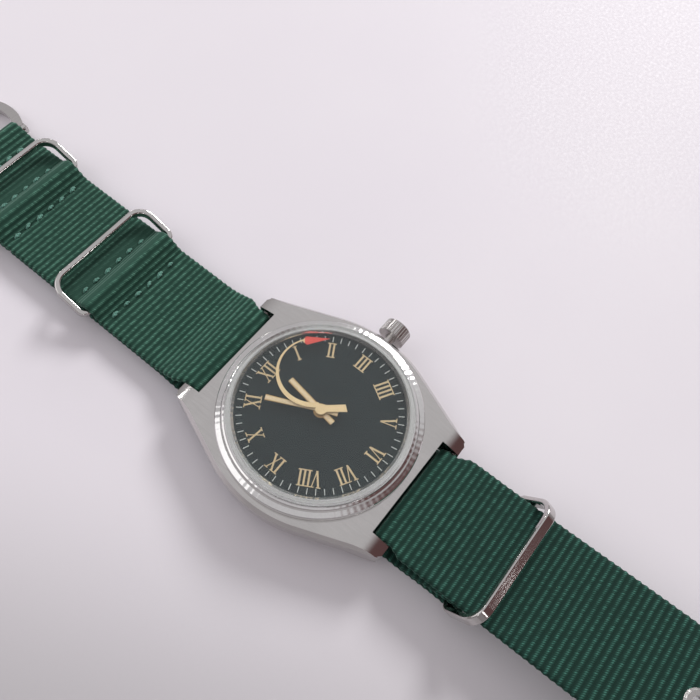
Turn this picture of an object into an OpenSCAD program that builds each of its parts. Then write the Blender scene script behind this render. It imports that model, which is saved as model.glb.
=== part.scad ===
// Hand wound mechanical wristwatch on a pass-through webbing strap.
// Frame: +Z out of the dial, +Y to twelve o'clock along the strap, +X to three o'clock and the crown.
// The origin is on the underside of the strap flap, straight under the middle of the dial.

/* [Webbing strap] */
// Width of the webbing
strap_w = 20.4; // [16:0.1:24]
// Thickness of the webbing
strap_t = 1.15; // [0.9:0.05:1.5]
// Gap between two layers of webbing that lie on each other
layer_gap = 0.1; // [0.05:0.05:0.3]
// Gap between the webbing and the metal that it passes
web_gap = 0.25; // [0.2:0.05:0.5]
// Height of the webbing's slack over the spring bars
bar_slack = 0.8; // [0:0.1:1.2]
// Gap between the squeezed webbing and a lug
squeeze_gap = 0.2; // [0.1:0.05:0.4]
// Length over which the webbing widens again past the lugs
squeeze_len = 2; // [1:0.1:4]
// Height that the two sewn layers stand over the table on the buckle's side
head_lift = 1.2; // [0:0.1:2]
// Height that the flap stands over the table at its keeper
flap_lift = 1.25; // [0:0.05:2]
// Distance at which the flap begins to rise to its keeper
flap_rise_y = 22.5; // [20:0.5:24]
// Length over which the flap rises
flap_rise_len = 8.5; // [6:0.5:11]
// Distance from the dial's middle to the strap's free end
tail_y = 166; // [140:1:190]
// Height of the middle of the webbing at the top of its free arch
arch_z = 9.1; // [5:0.1:12]
// Length over which the webbing rises behind the lower spring bar
tail_rise = 5.3; // [4:0.1:12]
// Distance at which the free arch begins to rise
arch_start = 26; // [24:1:50]
// Distance at which the arch is highest
arch_top = 72; // [60:1:100]
// Distance at which the arch is back on the table
arch_end = 130; // [110:1:150]
// Distance from the dial's middle to the end of the webbing folded under at the buckle
fold_end_y = 66.6; // [62:0.1:70]
// Length over which the webbing comes down from a spring bar
drop_len = 9; // [6:0.5:14]
// Length over which the webbing rises to the buckle's bar
ramp_len = 4.4; // [4:0.1:8]
// Half the length of a sewn pocket that holds a keeper
pocket_half = 3.6; // [3:0.1:5]
// Distance from the dial's middle to the end of the flap's own fold
flap_fold_y = 24.5; // [23:0.5:28]
// Distance from one eyelet to the next
eyelet_pitch = 8; // [6:0.5:10]
// Number of eyelets
eyelet_count = 11; // [5:1:12]
// Distance from the dial's middle to the first eyelet
eyelet_first = 69; // [60:1:80]
// Outer radius of an eyelet's rim
eyelet_r = 2.2; // [1.8:0.1:2.6]
// Radius of the hole through an eyelet
eyelet_bore = 1.15; // [0.9:0.05:1.5]
// Height of an eyelet's rim over the webbing
rim_t = 0.3; // [0.2:0.05:0.5]
// Thickness of an eyelet's flange under the webbing
eyelet_under = 0.12; // [0.08:0.02:0.3]
// Gap between an eyelet's rim and the curved webbing
rim_gap = 0.07; // [0.04:0.01:0.1]
// Length of one stitch
stitch_len = 1.5; // [1:0.1:2.5]
// Width of one stitch
stitch_w = 0.6; // [0.3:0.05:0.8]
// Height of one stitch over the webbing
stitch_t = 0.22; // [0.1:0.02:0.4]
// Number of stitches in a row
stitch_count = 6; // [4:1:9]
// Length of a row of stitches
stitch_row = 14.6; // [10:0.2:17]

/* [Buckle and keepers] */
// Distance from the dial's middle to the buckle's bar
buckle_y = 86; // [80:0.5:95]
// Radius of the buckle's bar
buckle_bar_r = 0.9; // [0.7:0.05:1.2]
// Width of the buckle frame's flat sides
frame_side = 1.9; // [1.5:0.1:2.5]
// Thickness of the buckle frame
frame_t = 1.3; // [1:0.1:1.8]
// Length of the buckle frame past its bar
frame_len = 15; // [12:0.5:18]
// Width of the buckle frame's front
frame_front = 2.2; // [1.8:0.1:3]
// Distance that the frame's straight sides run on behind its bar
frame_back = 0.9; // [0.5:0.1:1.5]
// Radius of the buckle frame's round front corners
frame_corner = 8; // [4:0.1:8.5]
// Distance that the buckle frame's sides bow out
frame_bow = 0.6; // [0:0.1:1.2]
// Radius of the buckle frame's bowed sides
frame_side_r = 10.9; // [10:0.1:14]
// Distance from the buckle's bar to the frame's widest place
frame_wide_y = 6.3; // [5:0.1:6.5]
// Width of the buckle frame beside its bar
frame_ear = 1; // [0.8:0.1:1.4]
// Width of the tongue
tongue_w = 1.9; // [1.5:0.1:2.4]
// Thickness of the tongue
tongue_t = 1; // [0.8:0.05:1.3]
// Gap between the webbing's edge and a keeper or buckle side
side_gap = 0.3; // [0.2:0.05:1]
// Thickness of a keeper's strip in the plane of its loop
keeper_t = 1; // [0.8:0.05:1.5]
// Width of a keeper's strip across its loop
keeper_band = 1.9; // [1.4:0.05:2.4]
// Radius of the long edges of a keeper's strip
keeper_edge = 0.3; // [0.1:0.05:0.35]
// Gap between a keeper's lower bar and the webbing that holds it
pocket_gap = 0.2; // [0.1:0.05:0.4]
// Distance between the middles of a keeper's two long bars
keeper_h = 8; // [6:0.1:10]
// Radius of a keeper's upper corners on the middle line of the strip
keeper_corner = 2.9; // [1.5:0.1:3.5]
// Radius of a keeper's lower corners on the middle line of the strip
keeper_foot = 1.2; // [0.9:0.1:1.5]
// Distance from the dial's middle to the lower bar of the keeper next to the buckle
keeper_1_y = 70.2; // [66:0.1:74]
// Distance from the dial's middle to the lower bar of the middle keeper
keeper_2_y = 44.9; // [40:0.1:50]
// Distance from the dial's middle to the lower bar of the keeper on the flap
keeper_3_y = 34; // [30:0.5:38]
// Lean of the two sewn keepers over the table
keeper_lean = 20; // [16:1:60]
// Lean of the keeper on the flap
flap_keeper_lean = 58; // [45:1:85]

/* [Case] */
// Half the width of the case at three and nine o'clock
case_half_w = 18.6; // [17.8:0.1:20]
// Half the outer width over the lugs at their tips
lug_tip_w = 11.8; // [11:0.1:12.5]
// Distance from the dial's middle to the lug tips
lug_tip_y = 21.5; // [21:0.1:24]
// Taper of the case's straight flanks, as an angle
flank_angle = 21.8; // [18:0.1:25]
// Half the width of the slot between the lugs
slot_half = 9.5; // [9:0.05:11]
// Distance from the dial's middle to the slot's inner wall
slot_y = 18.2; // [18:0.05:19]
// Underside of the middle case
case_z0 = 3.5; // [3.4:0.1:3.8]
// Top of the middle case
case_z1 = 7.3; // [7:0.1:7.6]
// Underside of the lug tips
lug_z0 = 2.3; // [1.6:0.1:3]
// Distance at which the lugs begin to curve down
lug_curve_y = 16.5; // [15:0.5:18]
// Radius of the lugs' curved tops
lug_curve_r = 11.5; // [9:0.5:16]
// Width of the bevel round the top of the case
case_bevel = 0.6; // [0.2:0.1:1]
// Height of the bevel round the top of the case
case_bevel_h = 0.8; // [0.3:0.1:1.2]
// Radius of the bezel's outer wall
bezel_r = 17.17; // [16.5:0.01:18]
// Radius of the bezel's bore, which the crystal is pressed into
bezel_bore = 15.3; // [14.8:0.05:15.6]
// Radius at which the bezel's raised inner lip begins
bezel_lip_r = 16.1; // [15.9:0.05:16.6]
// Width of the ring of the middle case that the bezel sits on, in from the bezel's wall
bezel_seat = 0.77; // [0.4:0.01:1]
// Radius of the opening that shows the dial
aperture_r = 14.3; // [13.8:0.1:14.5]
// Thickness of the tension ring's lip under the crystal's foot
tension_lip = 0.15; // [0.1:0.01:0.2]
// Top of the tension ring
tension_z1 = 10; // [9.7:0.1:10.3]
// Height of the crystal's straight foot over the dial
crystal_foot = 1.6; // [1.4:0.1:2]
// Rise of the crystal's dome over its foot
crystal_rise = 1.3; // [1:0.1:2.5]
// Thickness of the crystal at its top
crystal_t = 1.1; // [0.9:0.05:1.2]
// Rise of the hollow under the crystal's dome
crystal_hollow = 0.5; // [0.3:0.1:0.8]
// Thickness of the crystal's straight foot
crystal_wall = 0.7; // [0.6:0.05:0.9]
// Underside of the case back
back_z0 = 2.7; // [2.6:0.05:3]
// Radius of the case back's flange
back_r = 15.3; // [14.8:0.1:15.6]
// Gap between the case back's plug and the case
fit_gap = 0.05; // [0.02:0.01:0.08]
// Radius of the case back's plug
plug_r = 14.4; // [14:0.1:14.45]
// Height of the case back's plug
plug_h = 0.9; // [0.6:0.1:1]
// Width of the case back's gasket
gasket_w = 0.45; // [0.3:0.05:0.5]
// Thickness of the case back's gasket
gasket_h = 0.35; // [0.2:0.05:0.5]
// Number of notches round the case back
notch_count = 6; // [2:1:12]

/* [Crown and stem] */
// Height of the stem's axis
stem_z = 6.2; // [6:0.05:6.3]
// Radius of the crown
crown_r = 2.5; // [2:0.1:2.8]
// Gap between the case's flank and the crown's inner face
crown_gap = 0.8; // [0.4:0.1:1.4]
// Length of the crown
crown_len = 2.7; // [2:0.1:3.6]
// Number of flutes on the crown
flute_count = 30; // [18:1:40]
// Radius of one flute
flute_r = 0.17; // [0.1:0.01:0.2]
// Outer radius of the crown tube
tube_r = 0.9; // [0.8:0.05:0.95]
// Radius of the stem where it passes through the tube
stem_r = 0.45; // [0.35:0.05:0.5]
// Radius of the stem's bearing part
stem_bearing_r = 0.6; // [0.58:0.01:0.62]
// Inner end of the stem
pilot_x = 6.6; // [6.5:0.1:7.2]
// Side of the stem's square
stem_square = 0.8; // [0.7:0.02:0.82]
// Travel of the crown when it is pulled out to set the hands
crown_pull = 0.9; // [0.6:0.05:1]
// Travel of the clutch wheel when the crown is pulled
clutch_travel = 0.8; // [0.6:0.05:0.85]

/* [Dial and hands] */
// Underside of the dial
dial_z0 = 8.8; // [8.7:0.05:9]
// Thickness of the dial
dial_t = 0.4; // [0.3:0.05:0.5]
// Outer radius of the minute track
track_r = 13.6; // [13:0.1:14]
// Length of a minute mark
tick_len = 1; // [0.6:0.1:1.4]
// Width of a minute mark
tick_w = 0.13; // [0.1:0.01:0.25]
// Outer radius of the hour numerals
numeral_r1 = 12.4; // [12:0.1:12.5]
// Height of the hour numerals
numeral_h = 2.7; // [2:0.1:3]
// Width of a thick stroke of a numeral
stroke_thick = 0.31; // [0.25:0.01:0.45]
// Width of a thin stroke of a numeral
stroke_thin = 0.15; // [0.12:0.01:0.3]
// Spacing of the upright strokes of a numeral
stroke_pitch = 0.72; // [0.6:0.02:0.8]
// Height of the markings over the dial
marking_t = 0.05; // [0.02:0.01:0.1]
// Length of the hour hand
hour_len = 7.3; // [6:0.1:8]
// Direction of the hour hand, clockwise from twelve
hour_dir = 8.4; // [-180:0.1:180]
// Length of the minute hand
minute_len = 9.2; // [8:0.1:11]
// Direction of the minute hand, clockwise from twelve
minute_dir = -25.3; // [-180:0.1:180]
// Width of the hour and minute hands at their square tips
hand_w = 0.98; // [0.7:0.01:1.2]
// Length of the hour and minute hands' tails
hand_tail = 2.8; // [2:0.1:3.5]
// Thickness of the hour and minute hands
hand_t = 0.15; // [0.1:0.01:0.2]
// Outer radius of the second hand's curve
curve_r = 6.2; // [5.5:0.1:6.5]
// Place of the curve's middle, to three o'clock and to twelve o'clock
curve_mid = [4.3, 5];
// Distance from the dial's middle to the second hand's tip
second_len = 12.7; // [12:0.1:13.5]
// Direction of the second hand's tip, clockwise from twelve
second_dir = 57.7; // [-180:0.1:180]

/* [Movement plates] */
// Radius of the mainplate
plate_r = 12.8; // [12:0.1:12.8]
// Width of the rim that the mainplate sits on
plate_rim = 0.3; // [0.2:0.05:0.4]
// Underside of the bridges
bridge_z0 = 3.85; // [3.8:0.05:3.95]
// Joint between the bridges and the mainplate
plate_z0 = 4.75; // [4.7:0.05:4.8]
// Top of the mainplate
plate_z1 = 8.1; // [8:0.05:8.2]
// Step from the mainplate's edge in to the bridges' edge
bridge_step = 0.25; // [0.1:0.05:0.5]
// Radius of a screw's head
screw_head_r = 0.7; // [0.5:0.05:0.8]
// Radius of a screw's thread
screw_r = 0.35; // [0.3:0.05:0.4]
// Height of a screw's head
screw_head_h = 0.3; // [0.25:0.05:0.4]
// Radius of a train jewel
jewel_r = 0.6; // [0.5:0.05:0.7]
// Radius of a train wheel's pivot
pivot_r = 0.12; // [0.08:0.01:0.14]
// Gap between a pivot or arbor and its bearing
run_gap = 0.03; // [0.02:0.005:0.05]

/* [Wheels and pinions] */
// Teeth of the barrel
barrel_n = 75; // [70:1:80]
// Leaves of the centre pinion
centre_pinion_n = 12; // [10:1:14]
// Module of the barrel's mesh
barrel_m = 0.14; // [0.12:0.005:0.15]
// Teeth of the centre wheel
centre_n = 80; // [70:1:84]
// Leaves of the third pinion
third_pinion_n = 10; // [8:1:12]
// Module of the centre wheel's mesh
centre_m = 0.105; // [0.1:0.001:0.11]
// Teeth of the third wheel
third_n = 75; // [70:1:80]
// Leaves of the fourth pinion
fourth_pinion_n = 10; // [8:1:12]
// Teeth of the fourth wheel
fourth_n = 84; // [70:1:90]
// Leaves of the escape pinion
escape_pinion_n = 7; // [6:1:8]
// Module of the fourth wheel's mesh
fourth_m = 0.101; // [0.09:0.001:0.105]
// Teeth of the escape wheel
escape_n = 15; // [13:1:17]
// Radius of the escape wheel
escape_r = 2.2; // [2:0.05:2.25]
// Teeth of the cannon pinion
cannon_n = 12; // [10:1:14]
// Teeth of the minute wheel
minute_n = 36; // [30:1:42]
// Teeth of the minute wheel's pinion
minute_pinion_n = 10; // [8:1:12]
// Teeth of the hour wheel
hour_n = 40; // [36:1:48]
// Module of the cannon pinion's mesh
motion_m = 0.105; // [0.1:0.001:0.11]
// Teeth of the setting wheel
setting_n = 41; // [38:1:44]
// Teeth of the winding pinion
winding_n = 18; // [16:1:20]
// Teeth of the crown wheel
crown_wheel_n = 30; // [28:1:32]
// Teeth of the ratchet wheel
ratchet_n = 36; // [34:1:40]
// Module of the winding wheels
winding_m = 0.2; // [0.18:0.01:0.21]
// Radius of the balance wheel
balance_r = 4.05; // [3.8:0.05:4.1]
// Distance from the dial's middle to the balance staff
balance_dist = 8.5; // [8.4:0.05:8.5]
// Distance from the escape wheel's axis to the pallet fork's axis
pallet_dist = 2.54; // [2.5:0.01:2.6]
// Distance from the pallet fork's axis to the balance staff
fork_reach = 3.2; // [3.1:0.05:3.3]
// Turns of the hairspring
hairspring_turns = 8; // [5:1:12]
// Turns of the mainspring
mainspring_turns = 7; // [5:1:9]

/* [Spring bars] */
// Radius of a spring bar's tube
bar_r = 0.75; // [0.6:0.05:0.9]
// Distance from the dial's middle to a spring bar
bar_y = 20.6; // [20.5:0.05:21]
// Height of a spring bar's axis
bar_z = 3.4; // [3.2:0.1:3.8]
// Radius of a spring bar's tip
tip_r = 0.42; // [0.3:0.01:0.5]
// Depth that a tip reaches into its lug
tip_reach = 0.8; // [0.5:0.05:1]

/* [Hidden] */
$fn = 64;

// Places of the wheels, as [x, y] from the dial's middle
barrel_dist = barrel_m * (barrel_n + centre_pinion_n) / 2;
winding_sum = winding_m * (crown_wheel_n + ratchet_n) / 2;
crown_wheel_r = winding_m * crown_wheel_n / 2;
mesh_x = 10.6;
crown_wheel_at = [mesh_x - crown_wheel_r, 0];
barrel_x = (pow(barrel_dist, 2) - pow(winding_sum, 2) + pow(crown_wheel_at[0], 2)) / (2 * crown_wheel_at[0]);
barrel_at = [barrel_x, sqrt(pow(barrel_dist, 2) - pow(barrel_x, 2))];
third_dist = centre_m * (centre_n + third_pinion_n) / 2;
third_m = 2 * third_dist / (third_n + fourth_pinion_n);
third_dir = 150;
third_at = polar(third_dist, third_dir);
escape_dist = fourth_m * (fourth_n + escape_pinion_n) / 2;
escape_dir = -110;
escape_at = polar(escape_dist, escape_dir);
lever_line = pallet_dist + fork_reach;
balance_dir = escape_dir + acos((pow(balance_dist, 2) + pow(escape_dist, 2) - pow(lever_line, 2))
    / (2 * balance_dist * escape_dist));
balance_at = polar(balance_dist, balance_dir);
lever_dir = atan2(balance_at[1] - escape_at[1], balance_at[0] - escape_at[0]);
pallet_at = escape_at + polar(pallet_dist, lever_dir);
cock_dir = lever_dir - 90;
cock_foot_at = pallet_at + polar(2.2, cock_dir);
motion_dist = motion_m * (cannon_n + minute_n) / 2;
hour_m = 2 * motion_dist / (hour_n + minute_pinion_n);
setting_r = motion_m * setting_n / 2;
setting_at = [8.2 - setting_r, 0];
setting_dist = motion_m * (setting_n + minute_n) / 2;
minute_dir_m = -acos((pow(setting_at[0], 2) + pow(motion_dist, 2) - pow(setting_dist, 2))
    / (2 * setting_at[0] * motion_dist));
minute_at = polar(motion_dist, minute_dir_m);
click_tip_dir = 140;
click_dir = click_tip_dir + 17;
click_at = barrel_at + polar(4.75, click_dir);
click_tip = barrel_at + polar(winding_m * ratchet_n / 2 + 0.05, click_tip_dir);
setting_lever_at = [11.1, 3];
lever_peg_x = 11.4;
yoke_at = [9.5, -3.7];
balance_foot_at = [8.3, -7.4];
bridge_r = plate_r - bridge_step;
bridge_screws = [polar(bridge_r - 1.16, 16.84), polar(bridge_r - 1.15, 100), polar(bridge_r - 1, -16.08),
    polar(bridge_r - 1.25, 128.03), polar(bridge_r - 1.56, 215)];
dial_feet = [polar(plate_r - 0.9, 98), polar(plate_r - 0.9, 252)];

// Levels of the movement, from the bridges to the dial
fourth_z = [4.85, 5];
third_z = [5.12, 5.27];
escape_z = [5.32, 5.46];
centre_z = [5.6, 5.78];
barrel_z = [5.85, 7.2];
barrel_teeth_z = [6.35, 6.65];
winding_z = [4, 4.35];
crown_wheel_z = [4, 4.45];
floor_z = 6.9;
shallow_z = 5.95;
third_floor_z = 6.1;
barrel_floor_z = 7.3;
motion_z = [7.58, 7.8];
motion_floor_z = 7.53;
hour_wheel_z = [8.2, 8.4];
keyless_z = [8.15, 8.4];
dial_z1 = dial_z0 + dial_t;
hour_hand_z = dial_z1 + 0.4;
minute_hand_z = hour_hand_z + hand_t + 0.15;
second_hand_z = minute_hand_z + hand_t + 0.2;
centre_tube_r = 0.42;
cannon_tube_r = 0.55;
hour_tube_r = [0.6, 0.8];
fourth_arbor_r = 0.17;

// Phases that put the meshed teeth in each other's gaps
barrel_phase = 0;
centre_pinion_phase = mesh_phase(barrel_n, barrel_phase, centre_pinion_n, angle_of(barrel_at, [0, 0]));
centre_phase = 0;
third_pinion_phase = mesh_phase(centre_n, centre_phase, third_pinion_n, third_dir);
third_phase = 0;
fourth_pinion_phase = mesh_phase(third_n, third_phase, fourth_pinion_n, third_dir + 180);
fourth_phase = 0;
escape_pinion_phase = mesh_phase(fourth_n, fourth_phase, escape_pinion_n, escape_dir);
escape_phase = lever_dir + 180 / escape_n;
cannon_phase = 0;
minute_phase = mesh_phase(cannon_n, cannon_phase, minute_n, minute_dir_m);
setting_phase = mesh_phase(minute_n, minute_phase, setting_n, angle_of(minute_at, setting_at));
minute_pinion_phase = 0;
hour_phase = mesh_phase(minute_pinion_n, minute_pinion_phase, hour_n, minute_dir_m + 180);
ratchet_phase = click_tip_dir + 180 / ratchet_n;
crown_wheel_phase = mesh_phase(ratchet_n, ratchet_phase, crown_wheel_n, angle_of(barrel_at, crown_wheel_at));
crown_tooth_shift = (0 - crown_wheel_phase) * crown_wheel_n / 360;
winding_phase = 270 + (0.5 - (crown_tooth_shift - floor(crown_tooth_shift))) * 360 / winding_n;

crown_x0 = case_half_w + crown_gap;
crown_x1 = crown_x0 + crown_len;

// The case's plan: straight flanks that meet a round middle without a break
flank_apex = lug_tip_w + lug_tip_y * tan(flank_angle);
flank_r = (flank_apex - case_half_w) * cos(flank_angle) / (1 - cos(flank_angle));
flank_x = case_half_w - flank_r;
flank_join_y = flank_r * sin(flank_angle);

// The strap's levels
flap_mid_z = strap_t / 2;
strap_mid_z = 1.5 * strap_t + layer_gap;
bar_turn_r = bar_r + web_gap + strap_t / 2;
bar_over_z = bar_z + bar_slack + bar_turn_r;
head_mid_z = strap_mid_z + head_lift;
keeper_bar_z = strap_t + head_lift + pocket_gap + keeper_band / 2;
pocket_rise = keeper_bar_z + keeper_band / 2 + pocket_gap + strap_t / 2 - head_mid_z;
buckle_turn_r = buckle_bar_r + 0.3 + strap_t / 2;
buckle_z = flap_mid_z + buckle_turn_r;
flap_turn_r = keeper_band / 2 + pocket_gap + strap_t / 2;
flap_bar_z = flap_mid_z + flap_lift + flap_turn_r;
flap_over_z = flap_bar_z + flap_turn_r + strap_t + layer_gap;
keeper_half = strap_w / 2 + side_gap + keeper_t / 2;
tail_rest_z = flap_mid_z + rim_gap + eyelet_under;
frame_half = strap_w / 2 + side_gap + frame_side + frame_bow;
frame_tilt = asin((buckle_z - frame_t / 2) / frame_len);

function polar(r, a) = [r * cos(a), r * sin(a)];
function angle_of(a, b) = atan2(b[1] - a[1], b[0] - a[0]);
function ramp(v, a, b) = v <= a ? 0 : v >= b ? 1 : 0.5 * (1 - cos(180 * (v - a) / (b - a)));
function bump(v, c, half) = abs(v - c) < half ? 0.5 * (1 + cos(180 * (v - c) / half)) : 0;
// Phase of a wheel that meshes with a wheel of n_a teeth and phase p_a in the direction dir from it
function mesh_phase(n_a, p_a, n_b, dir) = dir + 180 - (0.5 - (dir - p_a) * n_a / 360) * 360 / n_b;

// Heights of the webbing's middle line: the free end, the upper layer at the buckle, and the lower layer
function tail_z(s) = bar_over_z + (flap_over_z - bar_over_z) * ramp(s, bar_y, bar_y + tail_rise)
    + (arch_z - flap_over_z) * ramp(s, arch_start, arch_top)
    - (arch_z - tail_rest_z) * ramp(s, arch_top, arch_end);
function head_z(y) = head_mid_z + (bar_over_z - head_mid_z) * (1 - ramp(y, bar_y, bar_y + drop_len))
    + pocket_rise * (bump(y, keeper_1_y, pocket_half) + bump(y, keeper_2_y, pocket_half))
    + (buckle_z + buckle_turn_r - head_mid_z) * ramp(y, buckle_y - ramp_len, buckle_y);
function low_z(y) = flap_mid_z + flap_lift * ramp(-y, flap_rise_y, flap_rise_y + flap_rise_len)
    + head_lift * (ramp(y, bar_y, bar_y + drop_len) - ramp(y, keeper_1_y + pocket_half, buckle_y - ramp_len));
function turn_pts(c, r, a0, a1, n) = [for (i = [0 : n]) [c[0] + r * cos(a0 + (a1 - a0) * i / n),
    c[1] + r * sin(a0 + (a1 - a0) * i / n)]];
under_turn = bar_z - strap_mid_z;
// Middle line of the webbing as [y, z] points, from the free end to the fold under the buckle
long_route = concat(
    [for (i = [0 : 72]) let(s = bar_y + (tail_y - bar_y) * pow(1 - i / 72, 1.5)) [-s, tail_z(s)]],
    turn_pts([-bar_y, bar_z + bar_slack], bar_turn_r, 81, 0, 9),
    turn_pts([-(bar_y - bar_turn_r) + under_turn, bar_z], under_turn, 180, 270, 8),
    turn_pts([bar_y - bar_turn_r - under_turn, bar_z], under_turn, 270, 360, 8),
    turn_pts([bar_y, bar_z + bar_slack], bar_turn_r, 180, 99, 9),
    [for (i = [0 : 80]) let(y = bar_y + (buckle_y - bar_y) * i / 80) [y, head_z(y)]],
    turn_pts([buckle_y, buckle_z], buckle_turn_r, 78, -90, 14),
    [for (i = [1 : 12]) let(y = buckle_y - (buckle_y - fold_end_y) * i / 12) [y, low_z(y)]]);
flap_route = concat(
    [for (i = [0 : 24]) let(y = fold_end_y - 0.6 - (fold_end_y - 0.6 - bar_y) * i / 24) [y, low_z(y)]],
    [for (i = [0 : 8]) let(s = flap_rise_y + (keeper_3_y - flap_rise_y) * i / 9) [-s, low_z(-s)]],
    turn_pts([-keeper_3_y, flap_bar_z], flap_turn_r, 270, 90, 16),
    [for (i = [1 : 10]) let(s = keeper_3_y - (keeper_3_y - flap_fold_y) * i / 10) [-s, low_z(-s) + strap_t
        + layer_gap + (2 * flap_turn_r - strap_t - layer_gap) * ramp(s, flap_fold_y + 3, keeper_3_y)]]);
function unit(v) = v / norm(v);
function side_of(p, i, d) = let(a = p[max(i - 1, 0)], b = p[min(i + 1, len(p) - 1)], t = unit(b - a))
    p[i] + d * [-t[1], t[0]];
function band(p, t) = concat([for (i = [0 : len(p) - 1]) side_of(p, i, t / 2)],
    [for (i = [len(p) - 1 : -1 : 0]) side_of(p, i, -t / 2)]);

// A plan outline or a [y, z] profile drawn out across the strap
module across(w) {
    rotate([90, 0, 90]) linear_extrude(w, center = true) children();
}

module along_x(x0, x1) {
    translate([x0, 0, 0]) rotate([90, 0, 90]) linear_extrude(x1 - x0) children();
}

module at(p, z0, z1) {
    translate([p[0], p[1], z0]) linear_extrude(z1 - z0) children();
}

module disc(p, r, z0, z1) {
    translate([p[0], p[1], z0]) cylinder(h = z1 - z0, r = r);
}

module rod(x0, x1, r) {
    translate([x0, 0, stem_z]) rotate([0, 90, 0]) cylinder(h = x1 - x0, r = r);
}

module ring_2d(r1, r0) {
    difference() {
        circle(r1);
        circle(r0);
    }
}

module bar_2d(a, b, w) {
    translate(a) rotate(angle_of(a, b)) translate([0, -w / 2]) square([norm(b - a), w]);
}

// Teeth with straight flanks: tip and root radii follow from the module
module gear_2d(n, m, phase, add = 0.9, ded = 1.2, tip = 0.11, foot = 0.27) {
    r1 = m * (n / 2 + add);
    r0 = m * (n / 2 - ded);
    pts = [for (i = [0 : n - 1], k = [[r0, -foot], [r1, -tip], [r1, tip], [r0, foot]])
        polar(k[0], phase + (i + k[1]) * 360 / n)];
    polygon(pts);
}

// Leaves of a pinion, with lower tips than a wheel's teeth
module leaves(p, z0, z1, n, m, phase) {
    at(p, z0, z1) gear_2d(n, m, phase, 0.8, 1.2, 0.1, 0.22);
}

module spokes_2d(r1, r0, w, n, turn = 0) {
    difference() {
        ring_2d(r1, r0);
        for (i = [0 : n - 1]) {
            rotate(turn + 360 * i / n) translate([0, -w / 2]) square([r1 + 1, w]);
        }
    }
}

module wheel_2d(n, m, phase, hub, rim, w, arms) {
    difference() {
        gear_2d(n, m, phase);
        spokes_2d(m * (n / 2 - 1.2) - rim, hub, w, arms);
    }
}

module spiral_2d(r0, r1, turns, t) {
    n = 28 * turns;
    polygon(concat(
        [for (i = [0 : n]) polar(r0 + (r1 - r0) * i / n + t / 2, 360 * turns * i / n)],
        [for (i = [n : -1 : 0]) polar(r0 + (r1 - r0) * i / n - t / 2, 360 * turns * i / n)]));
}

// One flank of the case: a round middle and two straight stretches, with a bevel round the top
module flank_solid() {
    top = case_z1 - case_bevel_h;
    intersection() {
        union() {
            translate([flank_x, 0, lug_z0]) cylinder(h = top - lug_z0, r = flank_r, $fn = 128);
            translate([flank_x, 0, top]) cylinder(h = case_bevel_h, r1 = flank_r, r2 = flank_r - case_bevel,
                $fn = 128);
        }
        translate([-6, -flank_join_y - 1, lug_z0]) cube([30, 2 * flank_join_y + 2, 6]);
    }
    for (s = [-1, 1]) {
        intersection() {
            mirror([0, s < 0 ? 1 : 0, 0]) translate([lug_tip_w, lug_tip_y, 0]) rotate([0, 0, flank_angle])
                rotate([90, 0, 0]) linear_extrude(40, center = true)
                    polygon([[-22, lug_z0], [0, lug_z0], [0, top], [-case_bevel, case_z1], [-22, case_z1]]);
            translate([-6, s > 0 ? flank_join_y : -lug_tip_y, lug_z0])
                cube([30, lug_tip_y - flank_join_y, 6]);
        }
    }
}

// Side view of the case: flat middle, lugs that curve down, underside that drops only at the lugs
module case_side_2d() {
    square_y = lug_curve_y;
    translate([-square_y, case_z0]) square([2 * square_y, case_z1 - case_z0]);
    for (s = [0, 1]) {
        mirror([s, 0]) {
            intersection() {
                translate([lug_curve_y, case_z1 - lug_curve_r]) circle(lug_curve_r, $fn = 128);
                polygon([[lug_curve_y - 1, case_z0], [16.2, case_z0], [19, lug_z0], [lug_tip_y, lug_z0],
                    [lug_tip_y, case_z1], [lug_curve_y - 1, case_z1]]);
            }
        }
    }
}

module mid_case() {
    color("silver") difference() {
        union() {
            intersection() {
                union() {
                    flank_solid();
                    mirror([1, 0, 0]) flank_solid();
                }
                across(4 * case_half_w) case_side_2d();
            }
            disc([0, 0], bezel_r - bezel_seat, case_z1 - 0.5, case_z1);
            disc([0, 0], bezel_bore, case_z1 - 0.5, dial_z0);
        }
        disc([0, 0], plate_r + fit_gap, case_z0 - 1, dial_z0 + 1);
        disc([0, 0], plate_r + plate_rim + fit_gap, plate_z1 - 0.2, dial_z0 + 1);
        disc([0, 0], plug_r + fit_gap, case_z0 - 1, case_z0 + plug_h);
        disc([0, 0], plug_r + 2 * fit_gap + gasket_w, case_z0 - 1, case_z0 + gasket_h);
        for (s = [-1, 1]) {
            translate([-slot_half, s > 0 ? slot_y : -slot_y - 8, 0]) cube([2 * slot_half, 8, 12]);
            translate([-slot_half, s > 0 ? 16 : -24, 0]) cube([2 * slot_half, 8, case_z0]);
            for (e = [0, 1]) {
                mirror([e, 0, 0]) {
                    translate([slot_half - 1, s * bar_y, bar_z]) rotate([0, 90, 0])
                        cylinder(h = 1 + tip_reach + 0.1, r = tip_r + 0.03);
                    translate([lug_tip_w, s * lug_tip_y, 0]) rotate([0, 0, 45])
                        translate([-0.35, -0.35, 0]) cube([0.7, 0.7, 12]);
                }
            }
        }
        rod(plate_r - 1, 15.6, stem_bearing_r + fit_gap);
        rod(15.5, 24, tube_r);
    }
}

module bezel() {
    color("gainsboro") rotate_extrude($fn = 128) polygon([[bezel_bore, case_z1], [bezel_r - 0.15, case_z1],
        [bezel_r, case_z1 + 0.15], [bezel_r, dial_z1 - 0.75], [bezel_r - 0.12, dial_z1 - 0.6],
        [bezel_lip_r + 0.15, dial_z1 - 0.35], [bezel_lip_r, dial_z1 - 0.4],
        [bezel_lip_r - 0.1, dial_z1 - 0.05], [bezel_lip_r - 0.2, dial_z1 + 0.05],
        [bezel_lip_r - 0.48, dial_z1 + 0.15], [bezel_lip_r - 0.55, dial_z1 + 0.3],
        [bezel_bore, dial_z1 + 0.3]]);
}

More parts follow.
